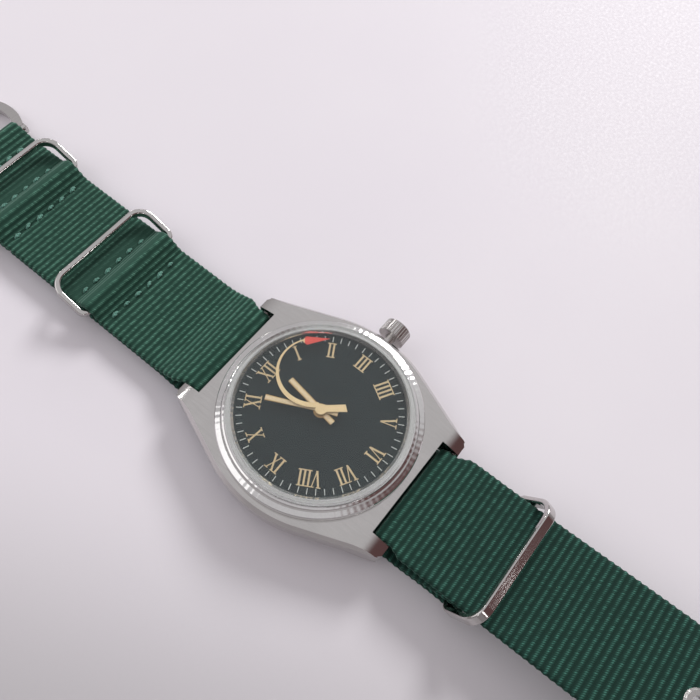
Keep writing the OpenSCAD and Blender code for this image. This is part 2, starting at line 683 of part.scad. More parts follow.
// Points of a dome from its rim at radius r to its middle, where its height is top
function dome_r(r, h) = (r * r + h * h) / (2 * h);
function dome_pts(r, h, top, n) = [for (i = [0 : n]) let(x = r * (1 - i / n))
    [x, top - dome_r(r, h) + sqrt(pow(dome_r(r, h), 2) - x * x)]];

module crystal() {
    foot_z = dial_z1 + crystal_foot;
    top = foot_z + crystal_rise;
    inner_r = bezel_bore - crystal_wall;
    inner = dome_pts(inner_r, crystal_hollow, top - crystal_t, 10);
    color("white", 0.35) rotate_extrude($fn = 128) polygon(concat(
        [[inner_r, dial_z1 + tension_lip], [bezel_bore, dial_z1 + tension_lip]],
        dome_pts(bezel_bore, crystal_rise, top, 16),
        [for (i = [len(inner) - 1 : -1 : 0]) inner[i]]));
}

module tension_ring() {
    r1 = bezel_bore - crystal_wall;
    color("whitesmoke") rotate_extrude($fn = 128) polygon([[aperture_r, dial_z1], [bezel_bore, dial_z1],
        [bezel_bore, dial_z1 + tension_lip], [r1, dial_z1 + tension_lip], [r1, tension_z1],
        [r1 - 0.1, tension_z1], [aperture_r, tension_z1 - 0.3]]);
}

module case_back() {
    color("lightgray") difference() {
        union() {
            translate([0, 0, back_z0]) cylinder(h = 0.3, r1 = back_r - 0.3, r2 = back_r);
            disc([0, 0], back_r, back_z0 + 0.3, case_z0);
            disc([0, 0], plug_r, case_z0, case_z0 + plug_h);
        }
        disc([0, 0], plate_r - 0.1, case_z0 + 0.02, case_z0 + plug_h + 1);
        for (i = [0 : notch_count - 1]) {
            rotate([0, 0, 30 + 360 * i / notch_count]) translate([13, -1.1, back_z0 - 1])
                cube([3, 2.2, 1.4]);
        }
    }
}

module back_gasket() {
    color("dimgray") rotate_extrude($fn = 96) translate([plug_r + fit_gap, case_z0])
        square([gasket_w, gasket_h]);
}

module crown_tube() {
    color("silver") difference() {
        rod(15.5, crown_x0 + 0.9, tube_r);
        rod(15, crown_x0 + 1.5, stem_r + 0.1);
    }
}

module crown() {
    color("silver") difference() {
        union() {
            rod(crown_x0, crown_x1 - 0.25, crown_r);
            translate([crown_x1 - 0.25, 0, stem_z]) rotate([0, 90, 0])
                cylinder(h = 0.25, r1 = crown_r - 0.05, r2 = crown_r - 0.35);
        }
        for (i = [0 : flute_count - 1]) {
            translate([crown_x0 - 1, (crown_r + 0.04) * cos(360 * i / flute_count),
                stem_z + (crown_r + 0.04) * sin(360 * i / flute_count)]) rotate([0, 90, 0])
                cylinder(h = crown_x1 - crown_x0 + 0.75, r = flute_r, $fn = 16);
        }
        rod(crown_x0 - 1, crown_x0 + 1.1, tube_r + 0.06);
        rod(crown_x0, crown_x1 - 0.6, stem_r);
    }
}

module square_rod(x0, x1, a) {
    translate([x0, -a / 2, stem_z - a / 2]) cube([x1 - x0, a, a]);
}

module winding_stem() {
    color("slategray") difference() {
        union() {
            rod(pilot_x, 8.05, 0.35);
            square_rod(8.05, 10.15, stem_square);
            rod(10.15, plate_r - 0.25, stem_bearing_r);
            rod(plate_r - 0.25, crown_x1 - 0.6, stem_r);
        }
        difference() {
            rod(11.15, 11.65, 2);
            rod(11, 12, 0.33);
        }
    }
}

module dial() {
    color("darkslategray") {
        difference() {
            disc([0, 0], bezel_bore - 0.05, dial_z0, dial_z1);
            disc([0, 0], 1, dial_z0 - 1, dial_z1 + 1);
        }
        for (p = dial_feet) {
            disc(p, 0.35, 7.3, dial_z0);
        }
    }
}

// Strokes of the numerals. Their feet point to the dial's middle.
module upright(x, w) {
    translate([x - w / 2, 0]) square([w, numeral_h]);
}

module serifs(x, w) {
    for (y = [0, numeral_h - 0.16]) {
        translate([x - w / 2, y]) square([w, 0.16]);
    }
}

module v_shape(x, w) {
    polygon([[x - w / 2 - stroke_thick / 2, numeral_h], [x - w / 2 + stroke_thick / 2, numeral_h],
        [x + stroke_thick / 2, 0], [x - stroke_thick / 2, 0]]);
    polygon([[x + w / 2 - stroke_thin / 2, numeral_h], [x + w / 2 + stroke_thin / 2, numeral_h],
        [x + stroke_thin / 2, 0], [x - stroke_thin / 2, 0]]);
    for (e = [-1, 1]) {
        translate([x + e * w / 2 - 0.36, numeral_h - 0.16]) square([0.72, 0.16]);
    }
}

module x_shape(x, w) {
    for (k = [[-1, stroke_thick], [1, stroke_thin]]) {
        polygon([[x + k[0] * w / 2 - k[1] / 2, numeral_h], [x + k[0] * w / 2 + k[1] / 2, numeral_h],
            [x - k[0] * w / 2 + k[1] / 2, 0], [x - k[0] * w / 2 - k[1] / 2, 0]]);
    }
    for (e = [-1, 1], y = [0, numeral_h - 0.16]) {
        translate([x + e * w / 2 - 0.34, y]) square([0.68, 0.16]);
    }
}

// Each numeral is a list of strokes from left to right
function glyphs(h) = ["I", "II", "III", "IIII", "V", "VI", "VII", "VIII", "IX", "X", "XI", "XII"][h - 1];
function glyph_w(c) = c == "I" ? stroke_pitch : 1.5;
function run_w(g, k) = k <= 0 ? 0 : glyph_w(g[k - 1]) + run_w(g, k - 1);

module numeral_2d(h) {
    g = glyphs(h);
    total = run_w(g, len(g));
    for (k = [0 : len(g) - 1]) {
        x = run_w(g, k) + glyph_w(g[k]) / 2 - total / 2;
        if (g[k] == "I") {
            upright(x, stroke_thick);
            serifs(x, stroke_pitch + 0.02);
        }
        if (g[k] == "V") {
            v_shape(x, 1.1);
        }
        if (g[k] == "X") {
            x_shape(x, 1.1);
        }
    }
}

module dial_numerals() {
    color("wheat") for (h = [1 : 12]) {
        rotate([0, 0, -30 * h]) translate([0, numeral_r1 - numeral_h, dial_z1]) linear_extrude(marking_t)
            numeral_2d(h);
    }
    color("white") for (i = [0 : 59]) {
        rotate([0, 0, 6 * i]) translate([-tick_w / 2, track_r - tick_len, dial_z1])
            cube([tick_w, tick_len, marking_t]);
    }
}

module hour_hand() {
    color("khaki") difference() {
        union() {
            rotate([0, 0, -hour_dir]) translate([-hand_w / 2, -hand_tail, hour_hand_z])
                cube([hand_w, hand_tail + hour_len, hand_t]);
            disc([0, 0], 1.2, hour_hand_z - 0.15, hour_hand_z + hand_t);
        }
        disc([0, 0], hour_tube_r[1], 0, 20);
    }
}

module minute_hand() {
    color("khaki") difference() {
        union() {
            rotate([0, 0, -minute_dir]) at([0, 0], minute_hand_z, minute_hand_z + hand_t)
                polygon([[-0.42, -hand_tail], [0.42, -hand_tail], [0.27, 0], [hand_w / 2, minute_len],
                    [-hand_w / 2, minute_len], [-0.27, 0]]);
            disc([0, 0], 0.95, minute_hand_z - 0.1, minute_hand_z + hand_t);
        }
        disc([0, 0], cannon_tube_r, 0, 20);
    }
}

// A crescent between two arcs, a wide tail and an arrow head
module second_hand_2d() {
    tip = [second_len * sin(second_dir), second_len * cos(second_dir)];
    base = [7.75, 9.78];
    ahead = unit(tip - base);
    aside = [-ahead[1], ahead[0]];
    intersection() {
        difference() {
            translate(curve_mid) circle(curve_r, $fn = 128);
            translate(curve_mid + [0.22, 0.22]) circle(curve_r - 0.52, $fn = 128);
        }
        polygon([[-0.1, -0.7], [-4, 0], [-4, 13], [8, 13], base + [0.35, 0.35], base - [0.35, 0.35],
            [4, 7], [0.9, 1.5]]);
    }
    polygon([base - 0.2 * aside - 0.3 * ahead, base + 0.3 * ahead - 0.78 * aside, tip,
        base + 0.3 * ahead + 0.78 * aside, base + 0.2 * aside - 0.3 * ahead]);
    polygon([[0.2, 0.75], [-0.75, 0.2], [2.35, -3.55], [3.15, -2.55]]);
    circle(0.9);
}

module second_hand() {
    color("khaki") difference() {
        union() {
            at([0, 0], second_hand_z, second_hand_z + 0.12) second_hand_2d();
            disc([0, 0], 0.45, second_hand_z - 0.12, second_hand_z + 0.12);
        }
        disc([0, 0], fourth_arbor_r, 0, second_hand_z + 0.06);
    }
}

module keyless_space(grow) {
    rod(8 - grow, 11.15 + grow, 1.95);
}

module mainplate() {
    color("lightgray") difference() {
        union() {
            disc([0, 0], plate_r, plate_z0, plate_z1);
            disc([0, 0], plate_r + plate_rim, plate_z1 - 0.2, plate_z1);
            at([0, 0], plate_z1, dial_z0) ring_2d(plate_r, plate_r - 0.5);
        }
        disc([0, 0], centre_m * centre_n / 2 + 0.4, plate_z0 - 1, shallow_z);
        disc([0, 0], barrel_m * centre_pinion_n / 2 + 0.5, plate_z0 - 1, floor_z);
        disc(third_at, third_m * third_n / 2 + 0.35, plate_z0 - 1, third_floor_z);
        disc(barrel_at, barrel_m * barrel_n / 2 + 0.35, plate_z0 - 1, barrel_floor_z);
        disc(escape_at, escape_r + 0.3, plate_z0 - 1, shallow_z);
        disc(balance_at, balance_r + 0.3, plate_z0 - 1, 4.95);
        disc(balance_at, 1.4, plate_z0 - 1, shallow_z);
        disc(pallet_at, 2, plate_z0 - 1, shallow_z);
        at([0, 0], plate_z0 - 1, shallow_z) bar_2d(pallet_at, balance_at, 2.6);
        at([0, 0], plate_z0 - 1, 5.2) bar_2d(pallet_at, cock_foot_at, 2);
        disc(cock_foot_at, 1, plate_z0 - 1, 5.2);
        translate([8, -2, plate_z0 - 1]) cube([3.15, 4, 5]);
        translate([11, -0.5, stem_z]) cube([1.6, 1, 4]);
        rod(pilot_x - 0.1, 8.1, 0.35 + run_gap);
        rod(11, 20, stem_bearing_r + run_gap);
        translate([11, -1, plate_z1]) cube([3, 2, 2]);
        disc(setting_at, setting_r + 0.25, motion_floor_z, plate_z1 + 1);
        disc(minute_at, motion_m * minute_n / 2 + 0.25, motion_floor_z, plate_z1 + 1);
        disc([0, 0], 0.95, motion_floor_z, plate_z1 + 1);
        disc([0, 0], 0.8, 7, motion_floor_z + 1);
        disc([0, 0], 0.6, floor_z - 1, motion_floor_z + 1);
        disc(barrel_at, 0.5 + run_gap, barrel_floor_z - 1, 7.8);
        disc(third_at, jewel_r, third_floor_z - 1, third_floor_z + 0.3);
        disc(third_at, 0.25, third_floor_z - 1, third_floor_z + 0.5);
        for (p = [escape_at, pallet_at]) {
            disc(p, p == pallet_at ? 0.5 : jewel_r, shallow_z - 1, shallow_z + 0.3);
            disc(p, 0.25, shallow_z - 1, shallow_z + 0.5);
        }
        disc(balance_at, jewel_r, shallow_z - 1, shallow_z + 0.5);
        for (p = concat(bridge_screws, [balance_foot_at])) {
            disc(p, screw_r, plate_z0 - 1, 6.3);
        }
        disc(cock_foot_at, 0.3, 5, 6);
        disc([crown_wheel_at[0], 0], screw_r, plate_z0 - 1, 5.3);
        for (p = dial_feet) {
            disc(p, 0.38, 7.2, dial_z0 + 1);
        }
        disc(setting_lever_at, 0.33, 7.1, plate_z1 + 1);
        disc(yoke_at, 0.33, 7.3, plate_z1 + 1);
        disc(setting_at, 0.33, 7, plate_z1);
        disc(minute_at, 0.23, 7, plate_z1);
    }
}

module screw_seat(p) {
    disc(p, screw_head_r + 0.05, bridge_z0 - 1, bridge_z0 + screw_head_h);
    disc(p, screw_r + 0.05, bridge_z0 - 1, plate_z0 + 1);
}

module jewel_seat(p) {
    disc(p, jewel_r, bridge_z0 - 1, plate_z0 + 1);
}

module barrel_bridge() {
    color("gainsboro") difference() {
        at([0, 0], bridge_z0, plate_z0) difference() {
            intersection() {
                circle(bridge_r, $fn = 128);
                polygon([[1.5, -1.6], [5, -3.6], [6.5, -4.4], [13, -4.4], [13, 13], [-5.7, 13], [-0.6, 1.4]]);
            }
            circle(2.1);
        }
        disc(barrel_at, winding_m * (ratchet_n / 2 + 0.9) + 0.15, bridge_z0 - 1, winding_z[1] + 0.05);
        disc(crown_wheel_at, winding_m * (crown_wheel_n / 2 + 0.9) + 0.12, bridge_z0 - 1, 4.5);
        disc(click_at, 1.5, bridge_z0 - 1, winding_z[1] + 0.05);
        disc(barrel_at, 0.62 + run_gap, bridge_z0 - 1, plate_z0 + 1);
        disc(click_at, 0.33, bridge_z0 - 1, plate_z0 + 1);
        disc(crown_wheel_at, screw_r, bridge_z0 - 1, plate_z0 + 1);
        keyless_space(0.1);
        for (i = [0 : 2]) {
            screw_seat(bridge_screws[i]);
        }
    }
}

module train_bridge() {
    color("gainsboro") difference() {
        at([0, 0], bridge_z0, plate_z0) {
            intersection() {
                circle(bridge_r, $fn = 128);
                polygon([[0.2, 1.5], [-1.2, 1.6], [-6.4, 13], [-13, 13], [-13, -9.5], [-9, -9.5],
                    [-2.9, -3.2], [0.2, -1.5]]);
            }
            circle(1.6);
            translate(escape_at) circle(1.2);
            bar_2d([-0.6, -0.6], escape_at, 2);
        }
        for (p = [third_at, escape_at, [0, 0]]) {
            jewel_seat(p);
        }
        for (i = [3, 4]) {
            screw_seat(bridge_screws[i]);
        }
    }
}

module balance_cock() {
    color("gainsboro") difference() {
        union() {
            at([0, 0], bridge_z0, 4.27) {
                bar_2d(balance_at, balance_foot_at, 2.4);
                translate(balance_at) circle(1.5);
                translate(balance_foot_at) circle(1.55);
                bar_2d(balance_at, balance_at + polar(2.9, balance_dir - 60), 0.7);
            }
            disc(balance_foot_at, 1.1, 4.2, plate_z0);
            disc(balance_at + polar(2.9, balance_dir - 60), 0.2, 4.2, 4.46);
        }
        disc(balance_at, jewel_r, bridge_z0 - 1, plate_z0);
        screw_seat(balance_foot_at);
    }
}

module pallet_cock() {
    color("gainsboro") difference() {
        at([0, 0], 4.95, 5.2) {
            bar_2d(pallet_at, cock_foot_at, 1.4);
            translate(pallet_at) circle(0.8);
            translate(cock_foot_at) circle(0.8);
        }
        disc(pallet_at, 0.45, 4, 6);
        disc(cock_foot_at, 0.33, 4, 6);
    }
}

module barrel() {
    r = barrel_m * barrel_n / 2;
    color("goldenrod") difference() {
        union() {
            disc(barrel_at, r - 0.5, barrel_z[0], barrel_z[1]);
            at(barrel_at, barrel_teeth_z[0], barrel_teeth_z[1]) gear_2d(barrel_n, barrel_m, barrel_phase);
        }
        disc(barrel_at, r - 0.8, barrel_z[0] + 0.15, barrel_z[1] + 1);
        disc(barrel_at, 0.62 + run_gap, 0, barrel_z[1] + 1);
    }
}

module barrel_cover() {
    r = barrel_m * barrel_n / 2;
    color("goldenrod") difference() {
        disc(barrel_at, r - 0.8, barrel_z[1] - 0.15, barrel_z[1]);
        disc(barrel_at, 0.5 + run_gap, 0, 9);
    }
}

module barrel_arbor() {
    color("slategray") translate([barrel_at[0], barrel_at[1], 0]) difference() {
        union() {
            disc([0, 0], 0.62, winding_z[1], 6.05);
            translate([-0.44, -0.44, winding_z[0]]) cube([0.88, 0.88, winding_z[1] - winding_z[0]]);
            disc([0, 0], 1, 6.03, 7.02);
            disc([0, 0], 0.5, 7.02, 7.75);
        }
        disc([0, 0], 0.25, 0, 5);
    }
}

module mainspring() {
    color("lightsteelblue") at(barrel_at, 6.08, 6.98)
        spiral_2d(1.07, barrel_m * barrel_n / 2 - 0.87, mainspring_turns, 0.12);
}

module centre_wheel() {
    color("goldenrod") difference() {
        union() {
            at([0, 0], centre_z[0], centre_z[1]) wheel_2d(centre_n, centre_m, centre_phase, 1.1, 0.4, 0.4, 5);
            at([0, 0], centre_z[1], 6.82) gear_2d(centre_pinion_n, barrel_m, centre_pinion_phase, 0.8, 1.2,
                0.1, 0.22);
            disc([0, 0], centre_tube_r, 6.82, minute_hand_z + hand_t);
        }
        disc([0, 0], fourth_arbor_r + 0.05, 0, 20);
    }
}

module third_wheel() {
    color("goldenrod") translate([third_at[0], third_at[1], 0]) {
        at([0, 0], third_z[0], third_z[1]) wheel_2d(third_n, third_m, third_phase, 0.8, 0.4, 0.4, 5);
        leaves([0, 0], third_z[1], 5.95, third_pinion_n, centre_m, third_pinion_phase);
        disc([0, 0], 0.25, 4.78, third_z[0]);
        disc([0, 0], pivot_r, 4.28, 4.78);
        disc([0, 0], 0.25, 5.95, third_floor_z - 0.03);
        disc([0, 0], pivot_r, third_floor_z - 0.03, third_floor_z + 0.4);
    }
}

module fourth_wheel() {
    color("goldenrod") {
        at([0, 0], fourth_z[0], fourth_z[1]) wheel_2d(fourth_n, fourth_m, fourth_phase, 0.8, 0.4, 0.4, 5);
        leaves([0, 0], fourth_z[1], 5.5, fourth_pinion_n, third_m, fourth_pinion_phase);
        disc([0, 0], 0.25, 4.78, fourth_z[0]);
        disc([0, 0], pivot_r, 4.28, 4.78);
        disc([0, 0], fourth_arbor_r, 5.5, second_hand_z + 0.06);
    }
}

module escape_wheel() {
    pts = [for (i = [0 : escape_n - 1], k = [[1.72, -6], [escape_r, -1.2], [escape_r - 0.09, 3.4],
        [1.95, 2.2], [1.72, 4]]) polar(k[0], escape_phase + i * 360 / escape_n + k[1])];
    color("goldenrod") translate([escape_at[0], escape_at[1], 0]) {
        at([0, 0], escape_z[0], escape_z[1]) difference() {
            polygon(pts);
            spokes_2d(1.42, 0.5, 0.3, 4);
        }
        leaves([0, 0], 4.82, escape_z[0], escape_pinion_n, fourth_m, escape_pinion_phase);
        disc([0, 0], pivot_r, 4.28, 4.82);
        disc([0, 0], 0.22, escape_z[1], shallow_z - 0.03);
        disc([0, 0], pivot_r, shallow_z - 0.03, shallow_z + 0.35);
    }
}

// Points of the pallet fork are counted from its axis, along the line to the balance staff
module on_lever(z0, z1) {
    translate([pallet_at[0], pallet_at[1], z0]) rotate([0, 0, lever_dir]) linear_extrude(z1 - z0) children();
}

module pallet_fork() {
    color("slategray") {
        difference() {
            on_lever(escape_z[0], escape_z[1]) {
                bar_2d([-0.2, 0], [2.2, 0], 0.36);
                circle(0.5);
                for (e = [-1, 1]) {
                    bar_2d([0, 0], [-0.3, e * 1.42], 0.5);
                }
                difference() {
                    polygon([[2, -0.3], [2.35, -0.52], [2.8, -0.52], [2.8, 0.52], [2.35, 0.52], [2, 0.3]]);
                    translate([2.25, -0.14]) square([1, 0.28]);
                }
            }
            pallet_stones_cut(0);
        }
        disc(pallet_at, pivot_r, 4.99, shallow_z + 0.25);
        disc(pallet_at, 0.22, escape_z[1], shallow_z - 0.03);
    }
}

module pallet_stones_cut(grow) {
    on_lever(escape_z[0] - grow, escape_z[1] + grow) for (e = [-1, 1]) {
        translate([-pallet_dist, 0]) rotate(e * 30) translate([escape_r + 0.05, -0.13]) square([0.7, 0.26]);
    }
}

module pallet_stones() {
    color("crimson") pallet_stones_cut(0);
}

module balance_wheel() {
    color("gold") translate([balance_at[0], balance_at[1], 0]) {
        at([0, 0], 4.5, 4.8) {
            ring_2d(balance_r, balance_r - 0.5);
            circle(0.7);
            bar_2d([-balance_r + 0.2, 0], [balance_r - 0.2, 0], 0.5);
        }
        disc([0, 0], 0.35, 4.33, 5.6);
        disc([0, 0], 0.95, 4.84, 5);
        disc([0, 0], 0.08, 4.05, 4.33);
        disc([0, 0], 0.08, 5.6, shallow_z + 0.24);
        disc(polar(0.72, lever_dir + 180), 0.1, 4.9, 5.47);
    }
}

module hairspring() {
    color("steelblue") at(balance_at, 4.37, 4.44) rotate(balance_dir - 60)
        spiral_2d(0.38, 2.66, hairspring_turns, 0.05);
}

module ratchet_wheel() {
    color("silver") at(barrel_at, winding_z[0], winding_z[1]) difference() {
        gear_2d(ratchet_n, winding_m, ratchet_phase);
        square(0.9, center = true);
    }
}

module ratchet_screw() {
    color("steelblue") translate([barrel_at[0], barrel_at[1], 0]) difference() {
        union() {
            disc([0, 0], 1, 3.83, winding_z[0]);
            disc([0, 0], 0.25, winding_z[0], 4.9);
        }
        translate([-2, -0.1, 3.8]) cube([4, 0.2, 0.12]);
    }
}

module crown_wheel() {
    color("silver") at(crown_wheel_at, crown_wheel_z[0], crown_wheel_z[1]) difference() {
        gear_2d(crown_wheel_n, winding_m, crown_wheel_phase);
        circle(0.85);
    }
}

module click() {
    reach = norm(click_tip - click_at);
    color("silver") at(click_at, winding_z[0], winding_z[1]) difference() {
        union() {
            circle(0.75);
            rotate(angle_of(click_at, click_tip)) polygon([[0, -0.7], [0.7, -0.3], [reach - 0.3, 0.02],
                [reach, -0.06], [reach, 0.08], [reach - 0.6, 0.4], [0, 0.7]]);
        }
        circle(0.35);
    }
}

// A round spring in the click's recess with one end against the click
module click_spring() {
    a = angle_of(click_at, click_tip) + 24;
    color("steelblue") at(click_at, 4.05, 4.3) {
        intersection() {
            ring_2d(1.5, 1.36);
            polygon([[0, 0], polar(4, a), polar(4, a + 60), polar(4, a + 120), polar(4, a + 180),
                polar(4, a + 232)]);
        }
        bar_2d(polar(1.42, a + 2), polar(1.2, a - 2), 0.14);
    }
}

// Radial prisms that make saw teeth on the end face of a wheel on the stem
module end_teeth(x, n, r1, r0, depth, w, lean) {
    for (i = [0 : n - 1]) {
        translate([x, 0, stem_z]) rotate([360 * i / n, 0, 0]) translate([0, 0, r0])
            linear_extrude(r1 - r0) polygon([[0, -w / 2], [0, w / 2], [depth, lean * w / 2]]);
    }
}

module winding_pinion() {
    color("silver") difference() {
        translate([0, 0, stem_z]) along_x(10.2, 11.05) gear_2d(winding_n, winding_m, winding_phase,
            0.15, 1.8, 0.14, 0.24);
        rod(9, 12, stem_bearing_r + run_gap);
        end_teeth(10.19, 10, 1.5, 0.5, 0.22, 0.46, 1);
    }
}

module clutch_wheel() {
    color("silver") {
        difference() {
            union() {
                rod(9.05, 10.1, 1.5);
                translate([0, 0, stem_z]) along_x(8.9, 9.1) difference() {
                    gear_2d(28, 0.1, 0, 0.5, 1, 0.12, 0.22);
                    circle(0.9);
                }
            }
            difference() {
                rod(9.3, 9.7, 2);
                rod(9, 10, 1.1);
            }
            square_rod(8, 11, stem_square + 0.06);
        }
        end_teeth(10.09, 10, 1.4, 0.8, 0.18, 0.3, 1);
    }
}

module setting_lever() {
    p = setting_lever_at;
    color("silver") {
        at([0, 0], keyless_z[0], keyless_z[1]) {
            translate(p) circle(0.7);
            bar_2d(p, [lever_peg_x, 0], 0.7);
            translate([lever_peg_x, 0]) circle(0.35);
            bar_2d(p, p + [-1.8, 0.3], 0.7);
            translate(p + [-1.8, 0.3]) circle(0.35);
        }
        disc(p, 0.3, 7.2, keyless_z[0]);
        disc([lever_peg_x, 0], 0.19, stem_z + 0.4, keyless_z[0]);
    }
}

module yoke() {
    p = yoke_at;
    color("silver") {
        at([0, 0], keyless_z[0], keyless_z[1]) {
            translate(p) circle(0.7);
            bar_2d(p, [p[0], 0], 0.7);
            translate([p[0], 0]) circle(0.35);
        }
        disc(p, 0.3, 7.4, keyless_z[0]);
        disc([p[0], 0], 0.14, 7.38, keyless_z[0]);
    }
}

module setting_wheel() {
    color("silver") {
        at(setting_at, motion_z[0], motion_z[1]) difference() {
            gear_2d(setting_n, motion_m, setting_phase);
            spokes_2d(1.5, 0.6, 0.35, 4);
        }
        disc(setting_at, 0.3, 7.05, 8.05);
    }
}

module cannon_pinion() {
    color("silver") difference() {
        union() {
            at([0, 0], motion_z[0], 7.95) gear_2d(cannon_n, motion_m, cannon_phase, 0.8, 1.1, 0.1, 0.22);
            disc([0, 0], cannon_tube_r, 7.95, minute_hand_z + hand_t);
        }
        disc([0, 0], centre_tube_r + 0.02, 0, 20);
    }
}

module minute_wheel() {
    color("goldenrod") {
        at(minute_at, motion_z[0], motion_z[1]) difference() {
            gear_2d(minute_n, motion_m, minute_phase);
            spokes_2d(1.45, 0.7, 0.35, 3);
        }
        leaves(minute_at, motion_z[1], 8.5, minute_pinion_n, hour_m, minute_pinion_phase);
        disc(minute_at, 0.2, 7.05, motion_z[0]);
    }
}

module hour_wheel() {
    color("goldenrod") difference() {
        union() {
            at([0, 0], hour_wheel_z[0], hour_wheel_z[1]) gear_2d(hour_n, hour_m, hour_phase);
            disc([0, 0], hour_tube_r[1], hour_wheel_z[1], hour_hand_z + hand_t);
        }
        disc([0, 0], hour_tube_r[0], 0, 20);
    }
}

module jewel(p, r1, r0, z0, z1) {
    at(p, z0, z1) ring_2d(r1, r0);
}

module jewels() {
    color("crimson") {
        for (p = [third_at, escape_at, [0, 0]]) {
            jewel(p, jewel_r, pivot_r + 0.02, 4.3, 4.6);
        }
        jewel(third_at, jewel_r, pivot_r + 0.02, third_floor_z, third_floor_z + 0.3);
        jewel(escape_at, jewel_r, pivot_r + 0.02, shallow_z, shallow_z + 0.3);
        jewel(pallet_at, 0.5, pivot_r + 0.02, shallow_z, shallow_z + 0.3);
        jewel(pallet_at, 0.45, pivot_r + 0.02, 4.97, 5.18);
        jewel(balance_at, jewel_r, 0.1, shallow_z, shallow_z + 0.25);
        disc(balance_at, jewel_r, shallow_z + 0.27, shallow_z + 0.5);
        jewel(balance_at, jewel_r, 0.1, 4.05, 4.26);
        disc(balance_at, jewel_r, bridge_z0 + 0.02, 4.03);
        jewel([0, 0], 0.8, centre_tube_r + run_gap, 7, 7.5);
    }
}

module screw(p, head_z, end_z) {
    difference() {
        union() {
            disc(p, screw_head_r, head_z, head_z + screw_head_h);
            disc(p, screw_r, head_z + screw_head_h, end_z);
        }
        translate([p[0] - 1, p[1] - 0.08, head_z - 1]) cube([2, 0.16, 1.12]);
    }
}

module movement_screws() {
    color("steelblue") {
        for (p = concat(bridge_screws, [balance_foot_at])) {
            screw(p, bridge_z0, 6.2);
        }
        difference() {
            union() {
                disc(crown_wheel_at, 1.15, 3.83, 3.97);
                disc(crown_wheel_at, 0.82, 3.97, 4.5);
                disc(crown_wheel_at, screw_r, 4.5, 5.25);
            }
            translate([crown_wheel_at[0] - 2, -0.1, 3.5]) cube([4, 0.2, 0.42]);
        }
        disc(click_at, 0.6, 3.83, 3.97);
        disc(click_at, 0.32, 3.97, 4.7);
        disc(cock_foot_at, 0.5, 4.86, 4.95);
        disc(cock_foot_at, 0.29, 4.95, 5.9);
    }
}

module spring_bars() {
    color("silver") for (s = [-1, 1]) {
        translate([0, s * bar_y, bar_z]) rotate([0, 90, 0]) difference() {
            cylinder(h = 2 * slot_half - 1.2, r = bar_r, center = true);
            cylinder(h = 2 * slot_half - 2, r = bar_r - 0.13, center = true);
            cylinder(h = 2 * slot_half, r = tip_r + 0.03, center = true);
        }
    }
}

module bar_tip(side, end) {
    color("silver") translate([0, side * bar_y, bar_z]) mirror([end < 0 ? 1 : 0, 0, 0]) rotate([0, 90, 0]) {
        translate([0, 0, slot_half - 1.45]) cylinder(h = 0.4, r = bar_r - 0.16);
        translate([0, 0, slot_half - 1.05]) cylinder(h = 1.05 + tip_reach - 0.15, r = tip_r);
        translate([0, 0, slot_half + tip_reach - 0.15]) cylinder(h = 0.15, r1 = tip_r, r2 = tip_r - 0.12);
    }
}

module bar_tip_12_crown_side() {
    bar_tip(1, 1);
}

module bar_tip_12_far_side() {
    bar_tip(1, -1);
}

module bar_tip_6_crown_side() {
    bar_tip(-1, 1);
}

module bar_tip_6_far_side() {
    bar_tip(-1, -1);
}

function tail_slope(s) = atan((tail_z(s + 0.5) - tail_z(s - 0.5)) / 1);

module at_eyelet(i) {
    s = eyelet_first + eyelet_pitch * i;
    translate([0, -s, tail_z(s)]) rotate([-tail_slope(s), 0, 0]) children();
}

// Plan of the long webbing up to its round end, squeezed where it passes the lugs
module long_plan_2d() {
    half = strap_w / 2;
    waist = min(half, slot_half - squeeze_gap);
    near = lug_tip_y + web_gap;
    far = near + squeeze_len;
    polygon([[waist, -near], [half, -far], [half, half - tail_y], [-half, half - tail_y], [-half, -far],
        [-waist, -near], [-waist, near], [-half, far], [-half, tail_y], [half, tail_y], [half, far],
        [waist, near]]);
}

module strap_long() {
    color("darkgreen") difference() {
        intersection() {
            across(strap_w) polygon(band(long_route, strap_t));
            union() {
                translate([0, 0, -1]) linear_extrude(arch_z + 12) long_plan_2d();
                disc([0, strap_w / 2 - tail_y], strap_w / 2, -1, arch_z);
            }
        }
        for (i = [0 : eyelet_count - 1]) {
            at_eyelet(i) cylinder(h = 2 * strap_t, r = eyelet_bore + 0.3, center = true);
        }
        translate([-tongue_w / 2 - web_gap, buckle_y - 3.8, -1]) cube([tongue_w + 2 * web_gap, 9, 12]);
    }
}

module strap_flap() {
    color("darkgreen") across(strap_w) polygon(band(flap_route, strap_t));
}

module strap_eyelets() {
    color("silver") for (i = [0 : eyelet_count - 1]) {
        at_eyelet(i) difference() {
            union() {
                cylinder(h = strap_t + 2 * rim_gap, r = eyelet_bore + 0.3, center = true);
                translate([0, 0, strap_t / 2 + rim_gap])
                    cylinder(h = rim_t, r1 = eyelet_r, r2 = eyelet_r - 0.35);
                translate([0, 0, -strap_t / 2 - rim_gap - eyelet_under])
                    cylinder(h = eyelet_under, r = eyelet_r - 0.3);
            }
            cylinder(h = 4, r = eyelet_bore, center = true);
        }
    }
}

module stitch_line(y) {
    a = atan((head_z(y + 0.4) - head_z(y - 0.4)) / 0.8);
    for (k = [0 : stitch_count - 1]) {
        x = -stitch_row / 2 + stitch_len / 2 + k * (stitch_row - stitch_len) / (stitch_count - 1);
        translate([x, y, head_z(y)]) rotate([a, 0, 0]) translate([-stitch_len / 2, -stitch_w / 2,
            strap_t / 2 + 0.02]) cube([stitch_len, stitch_w, stitch_t]);
    }
}

module strap_stitching() {
    seam = pocket_half + 0.35;
    color("seagreen") for (y = [keeper_2_y - seam, keeper_2_y + seam, keeper_1_y - seam, keeper_1_y + seam,
        buckle_y - ramp_len - 0.5]) {
        stitch_line(y);
    }
}

